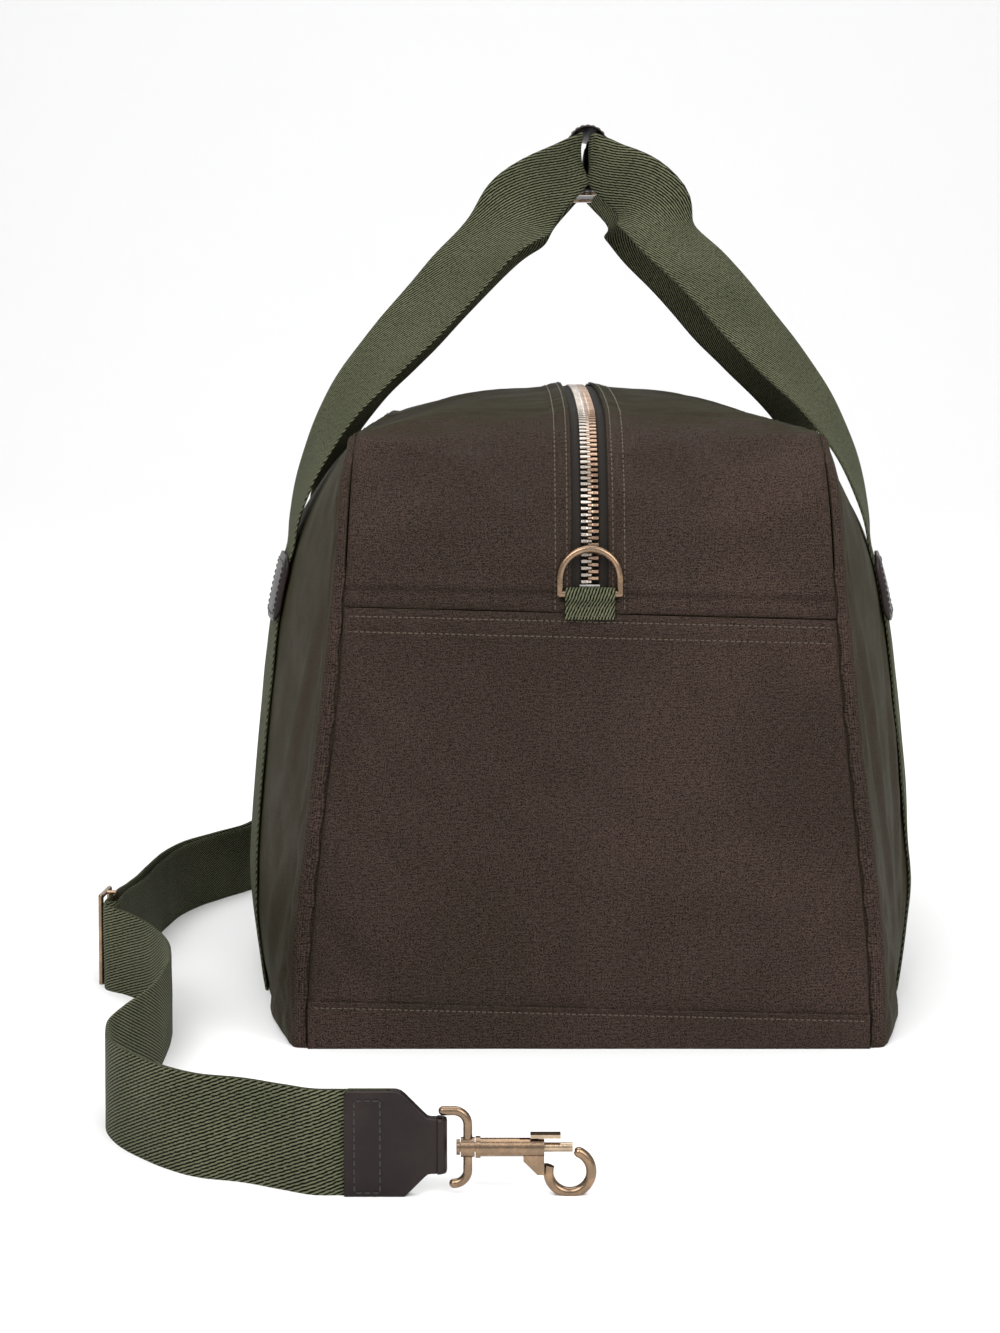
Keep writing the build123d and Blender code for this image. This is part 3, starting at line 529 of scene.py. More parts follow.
def leather_material(name="leather", tone=1.0):
    """Dark chocolate leather: fine pores, soft shine and paler rubbed patches."""
    s = Shader(name)
    at = s.place()
    pores = s.node("TexVoronoi", {"Vector": at, "Scale": 1500.0}, feature="F1")
    creases = s.noise(at, 260, 5.0, 0.65, 0.5)
    rub = s.ramp(s.noise(at, 34, 4.0, 0.6), 0.40, 0.72)
    low = tuple(tone * c for c in (0.0062, 0.0030, 0.0027))
    high = tuple(tone * c for c in (0.021, 0.0120, 0.0110))
    colour = s.between(s.math("MULTIPLY_ADD", rub, 0.7, s.math("MULTIPLY", creases, 0.3)), low, high)
    s.set(Base_Color=colour, Roughness=s.math("MULTIPLY_ADD", creases, 0.25, 0.26), Specular_IOR_Level=0.22)
    s.set(Coat_Weight=0.03, Coat_Roughness=0.35)
    s.set(Normal=s.relief(pores, 0.10, 0.5, s.relief(creases, 0.35, 0.6)))
    return s.material


def metal_material(name, colour, roughness=0.26, wear=(1.5, 1.4, 1.3)):
    """Plated metal: worn a little brighter in patches, with fine handling marks."""
    s = Shader(name)
    at = s.place()
    marks = s.noise(s.stretch(at, 1.0, 1.0, 6.0), 700, 3.0, 0.7)
    patch = s.ramp(s.noise(at, 120, 4.0, 0.65), 0.42, 0.70)
    bright = tuple(min(1.0, c * w) for c, w in zip(colour, wear))
    s.set(Base_Color=s.between(patch, colour, bright), Metallic=1.0)
    s.set(Roughness=s.math("MULTIPLY_ADD", marks, 0.22, roughness - 0.10))
    s.set(Normal=s.relief(marks, 0.02, 0.4))
    return s.material


def thread_material(name, colour):
    """Sewing thread with its twist."""
    s = Shader(name)
    at = s.place()
    twist = s.noise(at, 3000, 2.0, 0.6)
    low, high = tuple(c * 0.6 for c in colour), tuple(c * 1.3 for c in colour)
    s.set(Base_Color=s.between(twist, low, high), Roughness=0.6, Sheen_Weight=0.2)
    s.set(Normal=s.relief(twist, 0.08, 0.5))
    return s.material


def tape_material():
    """Zip tape: charcoal brown herringbone."""
    s = Shader("zip_tape_cloth")
    cloth = s.cloth()
    parts = s.node("SeparateXYZ", {0: cloth})
    folded = s.math("PINGPONG", parts, 0.0012)
    both = s.node("SeparateXYZ", {0: cloth}, 1)
    at = s.node("CombineXYZ", {0: folded, 1: both, 2: 0.0})
    rows = s.threads(at, 1000, "DIAGONAL")
    hair = s.noise(cloth, 1800, 2.0, 0.7)
    mix = s.math("ADD", s.math("MULTIPLY", rows, 0.6), s.math("MULTIPLY", hair, 0.5))
    s.set(Base_Color=s.between(s.ramp(mix, 0.3, 0.9, False), (0.0008, 0.0006, 0.0004), (0.040, 0.034, 0.029)))
    s.set(Roughness=0.72, Specular_IOR_Level=0.08, Sheen_Weight=0.02, Normal=s.relief(mix, 0.22, 0.7))
    return s.material


def lining_material():
    """Plain cotton lining."""
    s = Shader("lining_cotton")
    at = s.place()
    weave = s.noise(at, 2200, 2.0, 0.7)
    s.set(Base_Color=s.between(weave, (0.045, 0.040, 0.030), (0.11, 0.10, 0.075)), Roughness=0.85)
    s.set(Normal=s.relief(weave, 0.12, 0.5))
    return s.material


def board_material():
    """Pressed fibre board, matt and slightly mottled."""
    s = Shader("fibre_board")
    at = s.place()
    fibre = s.noise(s.stretch(at, 1.0, 0.3, 1.0), 500, 4.0, 0.7)
    s.set(Base_Color=s.between(fibre, (0.020, 0.017, 0.014), (0.070, 0.060, 0.048)), Roughness=0.8)
    s.set(Normal=s.relief(fibre, 0.15, 0.5))
    return s.material


canvas_cloth = canvas_material()
webbing_cloth = webbing_material()
leather = leather_material()
# a 1.25 times lighter copy of the leather for the handle tabs: painted reflection of the white surroundings on
# their faces
tab_leather_painted_reflection = leather_material("leather_tabs", 1.25)
brass = metal_material("antique_brass", (0.215, 0.150, 0.100), 0.25)
brass_pale = metal_material("rubbed_brass", (0.36, 0.28, 0.20), 0.24)
steel = metal_material("bolt_steel", (0.56, 0.54, 0.51), 0.24, (1.2, 1.2, 1.2))
teeth_metal = metal_material("zip_teeth_metal", (0.30, 0.20, 0.14), 0.24, (1.5, 1.5, 1.5))
teeth_silver = metal_material("zip_teeth_silver", (0.40, 0.355, 0.31), 0.26, (1.4, 1.4, 1.4))
stop_metal = metal_material("zip_stop_metal", (0.72, 0.70, 0.67), 0.22, (1.2, 1.2, 1.2))
canvas_thread = thread_material("canvas_thread", (0.062, 0.044, 0.024))
leather_thread = thread_material("leather_thread", (0.0035, 0.0025, 0.0022))
leather_thread_pale = thread_material("grip_thread", (0.20, 0.17, 0.14))
tape_cloth = tape_material()
lining_cloth = lining_material()
board = board_material()


# ---------------------------------------------------------------- canvas panels
end_width = 2 * float(seam_half(np.array(120.0)))
end_rise = yoke_level - hem_level
top_width = float(seam_half(np.array(300.0))) - zip_slot / 2
top_run = profile_length - 2 * yoke_level
side_run = bag_length
side_rise = 345.0
row_one, row_two = 4.0, 12.0  # stitched rows below the yoke seam
flange_rows = (2.2, 8.2)  # stitched rows beside the zip


def sewn_line(x, level):
    return level + seam_tilt * x


def end_place(near):
    def place(a, b):
        across = 2 * a - 1
        x = across * seam_half(np.array(120.0))
        low, high = sewn_line(x, hem_level), sewn_line(x, yoke_level)
        s = low + (high - low) * b
        return gusset(across, s if near else profile_length - s)

    return place


def end_relief(near):
    # faint slanting folds from the corner seams, as (start, end, width, height)
    near_folds = (
        ((6, 178), (46, 128), 6.0, 1.3),
        ((4, 150), (34, 112), 5.0, 1.0),
        ((5, 62), (38, 22), 6.5, 1.3),
        ((150, 200), (205, 168), 7.0, 0.9),
        ((262, 190), (222, 140), 6.0, 1.1),
        ((264, 70), (236, 30), 5.0, 0.9),
        ((60, 205), (110, 182), 6.0, 0.7),
    )
    far_folds = (
        ((8, 60), (50, 22), 7.0, 1.2),
        ((262, 170), (215, 120), 7.0, 1.3),
        ((60, 190), (120, 165), 7.0, 0.9),
    )

    def relief(u, v):
        total = folds(u, v, near_folds if near else far_folds)
        total += 0.5 * ripple(u, v, 46.0, 3 if near else 4) + 0.22 * ripple(u, v, 17.0, 5)
        total += seam_lip(u, 0.9) + seam_lip(end_width - u, 0.9)
        down = end_rise - v
        total += 0.9 * np.clip((row_two + 3.5 - down) / 2.0, 0, 1)
        total -= 0.55 * bump(down - row_one, 1.3) + 0.55 * bump(down - row_two, 1.3) + 0.9 * bump(down, 1.4)
        total -= 0.5 * bump(v, 2.5)
        return total

    return relief


for end_name, near in (("near", True), ("far", False)):
    panel(
        f"end_cloth_{end_name}",
        end_place(near),
        end_width,
        end_rise,
        (5.0, end_width - 5.0),
        (end_rise - row_one, end_rise - row_two, end_rise - row_two - 3.5),
        end_relief(near),
        canvas_cloth,
        (f"end_panel_{end_name}",),
        grow=0.004,
        load=0.6,
        cap=5.0,
    )


def top_place(side):
    def place(a, b):
        x = side * (zip_slot / 2 + a * top_width)
        low = sewn_line(x, yoke_level)
        s = low + (profile_length - 2 * low) * b
        _, z, _, _ = on_profile(s)
        reach = seam_half(z)
        x = side * (zip_slot / 2 + a * (reach - zip_slot / 2))
        return gusset(x / reach, s)

    return place


def top_relief(side):
    shoulder_run = top_run * 0.5 - 189.0  # from the yoke seam to the top of the shoulder
    top_folds = (
        ((70, 96), (12, 24), 7.0, 1.2),
        ((96, 60), (48, 44), 6.0, 0.8),
        ((104, 118), (40, 128), 4.0, 1.0),
        ((100, 146), (30, 138), 3.2, 0.9),
        ((60, 160), (16, 150), 3.2, 0.7),
        ((100, 300), (30, 330), 8.0, 1.6),
        ((90, 430), (20, 400), 8.0, 1.5),
        ((105, 525), (40, 535), 5.0, 1.0),
    )

    def relief(u, v):
        back = top_run - v
        near_shoulder = bump(v - shoulder_run, 34.0) + bump(back - shoulder_run, 34.0)
        total = folds(u, v, top_folds)
        total += near_shoulder * 0.75 * ripple(u * 0.4, v * 1.5, 10.0, 8 + side)
        total += 0.6 * ripple(u, v, 52.0, 10 + side) + 0.25 * ripple(u, v, 18.0, 12 + side)
        total += seam_lip(top_width - u, 0.9)
        total += 0.8 * np.clip((flange_rows[1] + 2.5 - u) / 1.6, 0, 1)
        total -= 0.5 * bump(u - flange_rows[0], 1.1) + 0.5 * bump(u - flange_rows[1], 1.1)
        total += 0.35 * bump(u - 5.2, 2.0) * ripple(u * 0.3, v, 4.5, 20 + side)
        for away in (v, back):
            total -= 1.1 * bump(away, 1.3)
            total += 0.9 * bump(away - 4.5, 3.2) - 1.3 * bump(away - 9.6, 1.7) + 0.8 * bump(away - 13.5, 3.0)
        return total

    return relief


for side_name, side in (("left", -1), ("right", 1)):
    panel(
        f"top_cloth_{side_name}",
        top_place(side),
        top_width,
        top_run,
        (*flange_rows, flange_rows[1] + 2.5, top_width - 5.0),
        (4.5, 9.6, 13.5, top_run - 13.5, top_run - 9.6, top_run - 4.5),
        top_relief(side),
        canvas_cloth,
        (f"top_panel_{side_name}",),
        grow=0.005,
        load=0.5,
        cap=4.0,
    )


def side_relief(side):
    # folds that hang from the top seam and gather at the corners
    left_folds = (
        ((20, 250), (60, 150), 8.0, 1.6),
        ((30, 110), (90, 40), 9.0, 1.6),
        ((190, 300), (215, 190), 12.0, 2.0),
        ((330, 300), (305, 190), 12.0, 2.0),
        ((490, 240), (455, 140), 9.0, 1.8),
        ((170, 60), (260, 22), 9.0, 1.4),
        ((420, 60), (330, 25), 9.0, 1.3),
    )
    right_folds = (
        ((24, 240), (52, 140), 7.0, 1.8),
        ((42, 160), (60, 60), 6.0, 1.7),
        ((120, 200), (96, 90), 8.0, 2.0),
        ((150, 140), (120, 40), 7.0, 1.8),
        ((200, 300), (225, 180), 12.0, 2.0),
        ((340, 300), (310, 190), 12.0, 2.0),
        ((480, 240), (450, 130), 9.0, 1.8),
        ((420, 70), (330, 28), 9.0, 1.3),
    )

    def relief(u, v):
        region = side_region(u / side_run, v / side_rise)
        rim = rim_distance(region[..., 0], region[..., 1])
        total = folds(u, v, left_folds if side < 0 else right_folds)
        total += 0.9 * ripple(u, v * 0.7, 60.0, 30 + side) + 0.35 * ripple(u, v, 20.0, 33 + side)
        total *= np.clip(rim / 14.0, 0, 1)
        return total + seam_lip(rim, 1.1) - 0.6 * bump(v, 2.0)

    return relief


for side_name, side in (("left", -1), ("right", 1)):
    panel(
        f"side_cloth_{side_name}",
        lambda a, b, side=side: side_wall(a, b, side),
        side_run,
        side_rise,
        (5.0, 10.0, side_run - 10.0, side_run - 5.0),
        (side_rise - 10.0, side_rise - 5.0),
        side_relief(side),
        canvas_cloth,
        (f"side_panel_{side_name}",),
        grow=0.004,
        load=0.5,
        cap=5.0,
    )


def base_path():
    """Rows of (y, z) of the base panel: down the near end, along the floor and up the far end."""
    corner = 5.0
    rows = [(-half_length, z) for z in np.linspace(hem_level + 3.5, corner, 14)]
    for a in np.linspace(0, math.pi / 2, 8)[1:]:
        rows.append((-half_length + corner - corner * math.cos(a), corner - corner * math.sin(a)))
    near = np.array(rows)
    flat = np.linspace(-half_length + corner, half_length - corner, 90)[1:-1]
    floor = np.stack([flat, np.zeros(88)], axis=-1)
    return np.vstack([near, floor, near[::-1] * (-1, 1)])


base_rows = base_path()
base_run = np.concatenate([[0], np.cumsum(np.hypot(*np.diff(base_rows, axis=0).T))])


def base_place(a, b):
    s = b * base_run[-1]
    y, z = np.interp(s, base_run, base_rows[:, 0]), np.interp(s, base_run, base_rows[:, 1])
    inward = np.clip((half_length - np.abs(y)) / 12.0, 0, 1)
    reach = seam_half(z) * (1 - inward) + (half_width(y, z) - 3.6) * inward
    x = (2 * a - 1) * reach
    tilt = np.clip(z / hem_level, 0, 1) * seam_tilt * x
    return np.stack([x, y, z + tilt], axis=-1)


def base_relief(u, v):
    total = 0.25 * ripple(u, v, 30.0, 41)
    for away in (v, base_run[-1] - v):
        total += 0.8 * bump(away, 2.2) - 0.45 * bump(away - 3.5, 1.2) + 0.35
    return total * np.clip(np.abs(base_run[-1] / 2 - v) - half_length + 12, 0, 1)


base_width = 2 * end_outline[0][0] - 2 * seam_in
panel(
    "base_cloth",
    base_place,
    base_width,
    base_run[-1],
    (),
    (3.5, 21.0, 29.0, base_run[-1] - 29.0, base_run[-1] - 21.0, base_run[-1] - 3.5),
    base_relief,
    canvas_cloth,
    ("base_panel",),
    grow=0.0,
    load=0.0,
    cap=0.01,
    frames=1,
)


# ---------------------------------------------------------------- lining and board
def lining_piece():
    """The cotton lining, a loose sack just inside the canvas."""
    inset = 0.965
    rows = []
    for level in np.linspace(0, 1, 40):
        z = 4.5 + level * 312.0
        ring = []
        for turn in np.linspace(0, 2 * math.pi, 120, endpoint=False):
            cosine, sine = math.cos(turn), math.sin(turn)
            power = (abs(cosine) ** 8 + abs(sine) ** 8) ** (-1 / 8)
            y = sine * power * (half_length - 5.0)
            head = np.interp(z, [shoulder_level - 20, 316.5], [half_length - 5.0, shoulder_y + 30.0])
            y *= min(1.0, head / (half_length - 5.0))
            x = cosine * power * (float(half_width(y, z)) * inset - 4.0)
            ring.append((x, y, z))
        rows.append(ring)
    points = np.array(rows)
    wobble = ripple(points[..., 1] + points[..., 0], points[..., 2], 35.0, 51)
    points *= 1 + 0.004 * wobble[..., None] * np.array([1.0, 1.0, 0.0])
    count = points.shape[1]
    flat = points.reshape(-1, 3)
    faces = grid_faces(points.shape[0], count, around=True)
    faces.append(tuple(range(count))[::-1])
    made = mesh_object("lining_sack", flat, faces, smooth=True)
    add_modifier(made, "SOLIDIFY", thickness=0.7 * MM, offset=-1.0)
    return finish_piece(made, lining_cloth, "bag", "lining", "lining")


lining_piece()


# ---------------------------------------------------------------- feeling for the surface
def surface_of(*names):
    """The finished surfaces of panels, for laying trim and stitches on them."""
    graph = bpy.context.evaluated_depsgraph_get()
    corners, faces = [], []
    for name in names:
        worn = panel_objects[name].evaluated_get(graph)
        first = len(corners)
        corners += [v.co.copy() for v in worn.data.vertices]
        faces += [tuple(first + i for i in p.vertices) for p in worn.data.polygons]
    return BVHTree.FromPolygons(corners, faces)


def touch(surface, start, direction):
    """Where a line from start meets the surface, with the surface's normal, in millimetres."""
    aim = Vector(direction).normalized()
    hit, normal, _, _ = surface.ray_cast(Vector(start) * MM, aim)
    if hit is None:
        return None
    if normal.dot(aim) > 0:
        normal = -normal
    return np.array(hit) / MM, np.array(normal)


all_canvas = surface_of(*panel_objects)
side_canvas = {"left": surface_of("side_cloth_left"), "right": surface_of("side_cloth_right")}


# ---------------------------------------------------------------- webbing
def smooth_run(rows, step):
    """Rows of numbers read along a smooth curve; the first three are a point. Evenly spaced by step."""
    rows = np.array(rows, float)
    gaps = np.linalg.norm(np.diff(rows[:, :3], axis=0), axis=1)
    knots = np.concatenate([[0], np.cumsum(gaps)])
    slopes = np.zeros_like(rows)
    for i in range(len(rows)):
        lo, hi = max(i - 1, 0), min(i + 1, len(rows) - 1)
        if 0 < i < len(rows) - 1:
            before = (rows[i] - rows[lo]) / (knots[i] - knots[lo])
            after = (rows[hi] - rows[i]) / (knots[hi] - knots[i])
            share = (knots[i] - knots[lo]) / (knots[hi] - knots[lo])
            slopes[i] = before * (1 - share) + after * share
        else:
            slopes[i] = (rows[hi] - rows[lo]) / (knots[hi] - knots[lo])
    fine = []
    for i in range(len(rows) - 1):
        gap = knots[i + 1] - knots[i]
        for t in np.linspace(0, 1, max(3, int(gap / 1.5)), endpoint=False):
            t2, t3 = t * t, t**3
            fine.append(
                rows[i] * (2 * t3 - 3 * t2 + 1)
                + slopes[i] * gap * (t3 - 2 * t2 + t)
                + rows[i + 1] * (3 * t2 - 2 * t3)
                + slopes[i + 1] * gap * (t3 - t2)
            )
    fine.append(rows[-1])
    fine = np.array(fine)
    run = np.concatenate([[0], np.cumsum(np.linalg.norm(np.diff(fine[:, :3], axis=0), axis=1))])
    even = np.linspace(0, run[-1], max(3, round(run[-1] / step) + 1))
    return np.stack([np.interp(even, run, fine[:, i]) for i in range(rows.shape[1])], axis=-1), even


def unit(v):
    return v / np.maximum(np.linalg.norm(v, axis=-1, keepdims=True), 1e-9)


def strip(name, stations, thickness=webbing, step=4.0, cup=None, wave=0.0, seed=1, halves=10):
    """A flat strip through stations of (point, width direction, width). cup(run, length) bows it."""
    rows, run = smooth_run([(*p, *a, w) for p, a, w in stations], step)
    centre, width = rows[:, :3], rows[:, 6:7]
    along = unit(np.gradient(centre, axis=0))
    across = unit(rows[:, 3:6] - along * (rows[:, 3:6] * along).sum(1, keepdims=True))
    face = np.cross(across, along)
    bow = cup(run, run[-1]) if cup else np.zeros(len(run))
    sides = np.linspace(-0.5, 0.5, 2 * halves + 1)
    rim = 0.5 * thickness
    upper = [(s, rim) for s in sides]
    lower = [(s, -rim) for s in sides[::-1]]
    profile_points = upper + [(0.512, 0.0)] + lower + [(-0.512, 0.0)]
    count = len(profile_points)
    points, uvs = [], []
    for i in range(len(run)):
        lift = wave * noise.noise(Vector((run[i] / 38.0, seed * 3.1, 0.0)))
        for s, q in profile_points:
            soft = 1 - 0.35 * max(0.0, abs(s) - 0.47) / 0.042 if abs(s) > 0.47 else 1.0
            curl = wave * 0.6 * noise.noise(Vector((run[i] / 30.0, s * 2.2 + 7, seed * 5.3)))
            height = q * soft + bow[i] * (1 - 4 * s * s) + lift + curl
            points.append(centre[i] + across[i] * s * width[i] + face[i] * height)
            uvs.append((s * width[i][0] + (0 if q > 0 else 200), run[i]))
    faces = grid_faces(len(run), count, around=True, flip=True)
    faces.append(tuple(range(count)))
    faces.append(tuple(range(len(points) - count, len(points)))[::-1])
    made = mesh_object(name, np.array(points), faces, np.array(uvs))
    made.data.polygons[len(faces) - 1].use_smooth = False
    made.data.polygons[len(faces) - 2].use_smooth = False
    return made, (centre, across, face, run)


def on_side(side_name, y, z, off):
    """A point just off the side panel."""
    side = -1 if side_name == "left" else 1
    found = touch(side_canvas[side_name], (side * 260.0, y, z), (-side, 0, 0))
    return found[0] + found[1] * off, found[1]


def smoothed(values, passes=6):
    """Points with the small bumps taken out; a stiff strap bridges them."""
    values = np.array(values, float)
    for _ in range(passes):
        values[1:-1] = 0.25 * values[:-2] + 0.5 * values[1:-1] + 0.25 * values[2:]
    return values


def side_strip_stations(side_name, y, levels):
    """Stations of webbing that lies on the side panel at y."""
    side = -1 if side_name == "left" else 1
    spots = smoothed([on_side(side_name, y, z, webbing / 2 + 0.5)[0] for z in levels], 2)
    half = webbing_width / 2
    stations = []
    for spot, z in zip(spots, levels):
        edges = [on_side(side_name, y + s * half * 0.95, z, 0.0)[0] for s in (-1, 1)]
        across = unit(edges[1] - edges[0])
        middle = (edges[0] + edges[1]) / 2
        out = max(side * spot[0], side * middle[0] + webbing / 2 + 0.5)
        stations.append(((side * out, y, spot[2]), tuple(across), webbing_width))
    return stations


leg_y = handle_spacing / 2
for side_name in ("left", "right"):
    for end_name, y_sign in (("near", -1), ("far", 1)):
        levels = np.array([3.0, 8, 20, 40, 65, 90, 115, 140, 165, 185, 200, 209, tab_bottom + 4])
        stations = side_strip_stations(side_name, y_sign * leg_y, levels)
        made, _ = strip(f"side_strap_{side_name}_{end_name}", stations, step=5.0)
        finish_piece(made, webbing_cloth, "bag", "webbing", f"side_webbing_{side_name}_{end_name}")


# ---------------------------------------------------------------- handles
grip_top = 493.0
grip_bottom = 455.0
grip_width = 23.0
grip_foot_width = 13.0
grip_length = 124.0
grip_centre_x = 5.0
grip_leather = 2.0
strand_offset = 3.2
folded_webbing = 26.0
strand_level = (grip_top + grip_bottom) / 2 + 1
side_slope = 0.131

# (share of the way in, share of the way up, how far the legs draw together, turn in degrees)
handle_route = (
    (0.0, 0.018, 0, 0),
    (0.013, 0.088, 0, 4),
    (0.047, 0.181, 0, 11),
    (0.106, 0.282, 1, 19),
    (0.189, 0.383, 2.5, 28),
    (0.316, 0.492, 5, 37),
    (0.437, 0.589, 8, 42),
    (0.570, 0.698, 12, 44),
    (0.708, 0.800, 17, 46),
)


def leg_stations(side_name, y_sign):
    """One leg of a handle, from under its tab to the grip, as in the CAD model."""
    side = -1 if side_name == "left" else 1
    top = tab_bottom + tab_height
    grip_x = grip_centre_x + side * strand_offset
    start, _ = on_side(side_name, y_sign * leg_y, top + 4, webbing / 2 + 0.4)
    start_x = abs(start[0])
    rise = strand_level - top
    route = [
        (side * start_x * (1 - share), leg_y - drawn, top + rise * up, turn)
        for share, up, drawn, turn in handle_route
    ]
    levels = np.array([tab_bottom + 2, tab_bottom + 10, tab_bottom + 20, tab_bottom + 30])
    stations = [
        (p, tuple(-y_sign * np.array(a)), w)
        for p, a, w in side_strip_stations(side_name, y_sign * leg_y, levels)
    ]
    for i, (x, y, z, turn) in enumerate(route):
        x1, _, z1, _ = route[min(i + 1, len(route) - 1)]
        x0, _, z0, _ = route[max(i - 1, 0)]
        slope = math.atan2(z1 - z0, abs(x1 - x0))
        a = math.radians(turn)
        lean = side_slope * max(0, 1 - i / 4)
        inward = -side
        across = (
            -inward * (math.sin(a) * math.sin(slope) + lean * math.cos(a)),
            -y_sign * math.cos(a),
            math.sin(a) * math.cos(slope),
        )
        stations.append(((x, y_sign * y, z), across, webbing_width))
    half = grip_length / 2
    corner = (grip_x + side * 28, y_sign * (half + 22), strand_level - 23)
    entry = (grip_x + side * 8, y_sign * (half + 8), strand_level - 7)
    stations.append((corner, (side * 0.24, 0, 0.97), webbing_width - 7))
    stations.append((entry, (side * 0.08, 0, 1), webbing_width - 17))
    for inside in (-3, 6, 14):
        stations.append(((grip_x, y_sign * (half - inside), strand_level), (0, 0, 1), folded_webbing))
    return stations


def handle_bow(run, length):
    """The webbing lies flat on the bag and dishes a little on the way up and through the grip."""
    share = np.minimum(run, length - run) / (length / 2)
    dish = 1.6 * np.clip((share - 0.25) / 0.3, 0, 1)
    return dish


for side_name in ("left", "right"):
    near_leg, far_leg = leg_stations(side_name, -1), leg_stations(side_name, 1)
    made, track = strip(
        f"handle_webbing_{side_name}", near_leg + far_leg[::-1], step=4.0, wave=0.9, seed=3, cup=handle_bow
    )
    finish_piece(made, webbing_cloth, "bag", "webbing", f"handle_{side_name}")
    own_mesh(made)


# ---------------------------------------------------------------- shoulder strap
near_bar = (-73.0, -500.0, 23.0)
end_length = 44.0
strap_insert = 20.0
layer_offset = 3.2
loop_bar = 4.0
strap_leather = 2.2
buckle_height = 56.0
buckle_depth = 27.0
square_ring_depth = 18.0

single_route = (
    (-139.0, -493.0),
    (-159.0, -482.0),
    (-178.0, -475.0),
    (-194.0, -462.0),
    (-207.0, -446.0),
    (-219.0, -428.0),
    (-227.0, -408.0),
    (-230.5, -380.0),
    (-227.0, -350.0),
    (-221.0, -320.0),
    (-218.0, -287.0),
    (-218.0, -252.0),
    (-221.0, -220.0),
    (-228.0, -192.0),
    (-239.0, -164.0),
    (-254.0, -144.0),
)
double_route = (
    (-266.0, -120.0),
    (-265.2, -106.0),
    (-264.4, -92.0),
    (-262.5, -62.0),
    (-260.0, -20.0),
    (-257.0, 26.0),
    (-252.0, 64.0),
    (-243.0, 94.0),
    (-229.0, 120.0),
    (-214.0, 147.0),
    (-205.0, 181.0),
    (-200.0, 217.0),
    (-195.0, 250.0),
)
# the far end of the strap, from the floor up to its hook: (point, share of the lean)
strap_rise = (
    ((-186, 279, 25), 0.03),
    ((-171, 299, 32), 0.14),
    ((-150, 307, 49), 0.34),
    ((-128, 304, 73), 0.60),
)


def frame_at(origin, x_dir, z_dir):
    """A place as a matrix in millimetres, from its X and Z directions."""
    x = Vector(x_dir).normalized()
    z = Vector(z_dir)
    z = (z - x * z.dot(x)).normalized()
    y = z.cross(x)
    rows = Matrix((x, y, z)).transposed().to_4x4()
    rows.translation = Vector(origin)
    return rows


near_place = frame_at(near_bar, (1, 0, 0), (0, 0, 1))
far_place = frame_at((-45.483, 285.494, 172.890), (0.59892, -0.05989, 0.79856), (-0.8, 0, 0.6))
hook_axis_level = near_bar[2]
strap_lift = webbing_width / 2 - hook_axis_level  # the leather's middle above the hook's axis


def lift_at(y):
    """The slider stands on the floor and holds the webbing inside it a little above."""
    away = abs(y - double_route[1][1])
    share = min(1, max(0, (away - buckle_depth) / webbing_width))
    return (buckle_height - webbing_width) / 2 * (1 - share) * (1 + math.cos(math.pi * share)) / 2


def offset_stations(stations, distance):
    """A layer of the doubled strap, beside its middle line."""
    points = np.array([p for p, _, _ in stations], float)
    along = unit(np.gradient(points, axis=0))
    across = np.array([a for _, a, _ in stations], float)
    normal = unit(np.cross(along, across))
    return [(tuple(np.array(p) + n * distance), a, w) for (p, a, w), n in zip(stations, normal)]


def turn_stations(centre, start, towards, across, steps=5):
    """A U-turn of the webbing round a bar, from the start side round to the other."""
    angles = np.linspace(0, math.pi, steps + 2)[1:-1]
    return [
        (
            tuple(np.array(centre) + layer_offset * (start * math.cos(a) + towards * math.sin(a))),
            across,
            webbing_width,
        )
        for a in angles
    ]


def strap_piece():
    """The whole shoulder strap: one length of webbing, doubled back through its slider."""
    floor_z = webbing_width / 2
    upright = (0.0, 0.0, 1.0)
    start_x = near_bar[0] - end_length + 4 + strap_insert - 0.3
    single = [((start_x - d, near_bar[1], floor_z), upright, webbing_width) for d in (0, 8, 16, 24, 31)]
    single += [((x, y, floor_z + lift_at(y)), upright, webbing_width) for x, y in single_route]
    double = [((x, y, floor_z + lift_at(y)), upright, webbing_width) for x, y in double_route]
    lean = np.array(far_place.col[2][:3])
    ahead = np.array(far_place.col[0][:3])
    for point, share in strap_rise:
        double.append((point, tuple(unit(np.array(upright) * (1 - share) + lean * share)), webbing_width))
    bar = np.array(far_place.translation) - ahead * (end_length - 4 + square_ring_depth) + lean * strap_lift
    double += [(tuple(bar - ahead * back), tuple(lean), webbing_width) for back in (30.0, 20.0, 10.0, 0.0)]
    outer, inner = offset_stations(double, -layer_offset), offset_stations(double, layer_offset)
    join = outer[0][0]
    approach = [((join[0] + 2.0, join[1] - 12.0, join[2]), upright, webbing_width)]
    far_side = unit(np.array(inner[-1][0]) - np.array(outer[-1][0]))
    far_turn = turn_stations(bar, -far_side, ahead, tuple(lean))
    near_side = unit(np.array(inner[0][0]) - np.array(outer[0][0]))
    back = -unit(np.array(double[1][0]) - np.array(double[0][0]))
    near_turn = turn_stations(double[0][0], near_side, back, upright)[:4]
    stations = single + approach + outer + far_turn + inner[::-1] + near_turn
    made, track = strip("strap_webbing", stations, step=2.2, wave=0.7, seed=9)
    finish_piece(made, webbing_cloth, "bag", "webbing", "shoulder_webbing")
    return track


strap_piece()


# ---------------------------------------------------------------- leather plates
def rounded(corners, arc=6):
    """An outline through (x, z, radius) corners, with each corner rounded."""
    outline = []
    count = len(corners)
    for i, (x, z, radius) in enumerate(corners):
        here = np.array([x, z])
        before = unit(np.array(corners[i - 1][:2]) - here)
        after = unit(np.array(corners[(i + 1) % count][:2]) - here)
        half = math.acos(np.clip(before @ after, -1, 1)) / 2
        cut = radius / math.tan(half)
        start, end = here + before * cut, here + after * cut
        for t in np.linspace(0, 1, arc):
            outline.append((1 - t) ** 2 * start + 2 * t * (1 - t) * here + t * t * end)
    return np.array(outline)


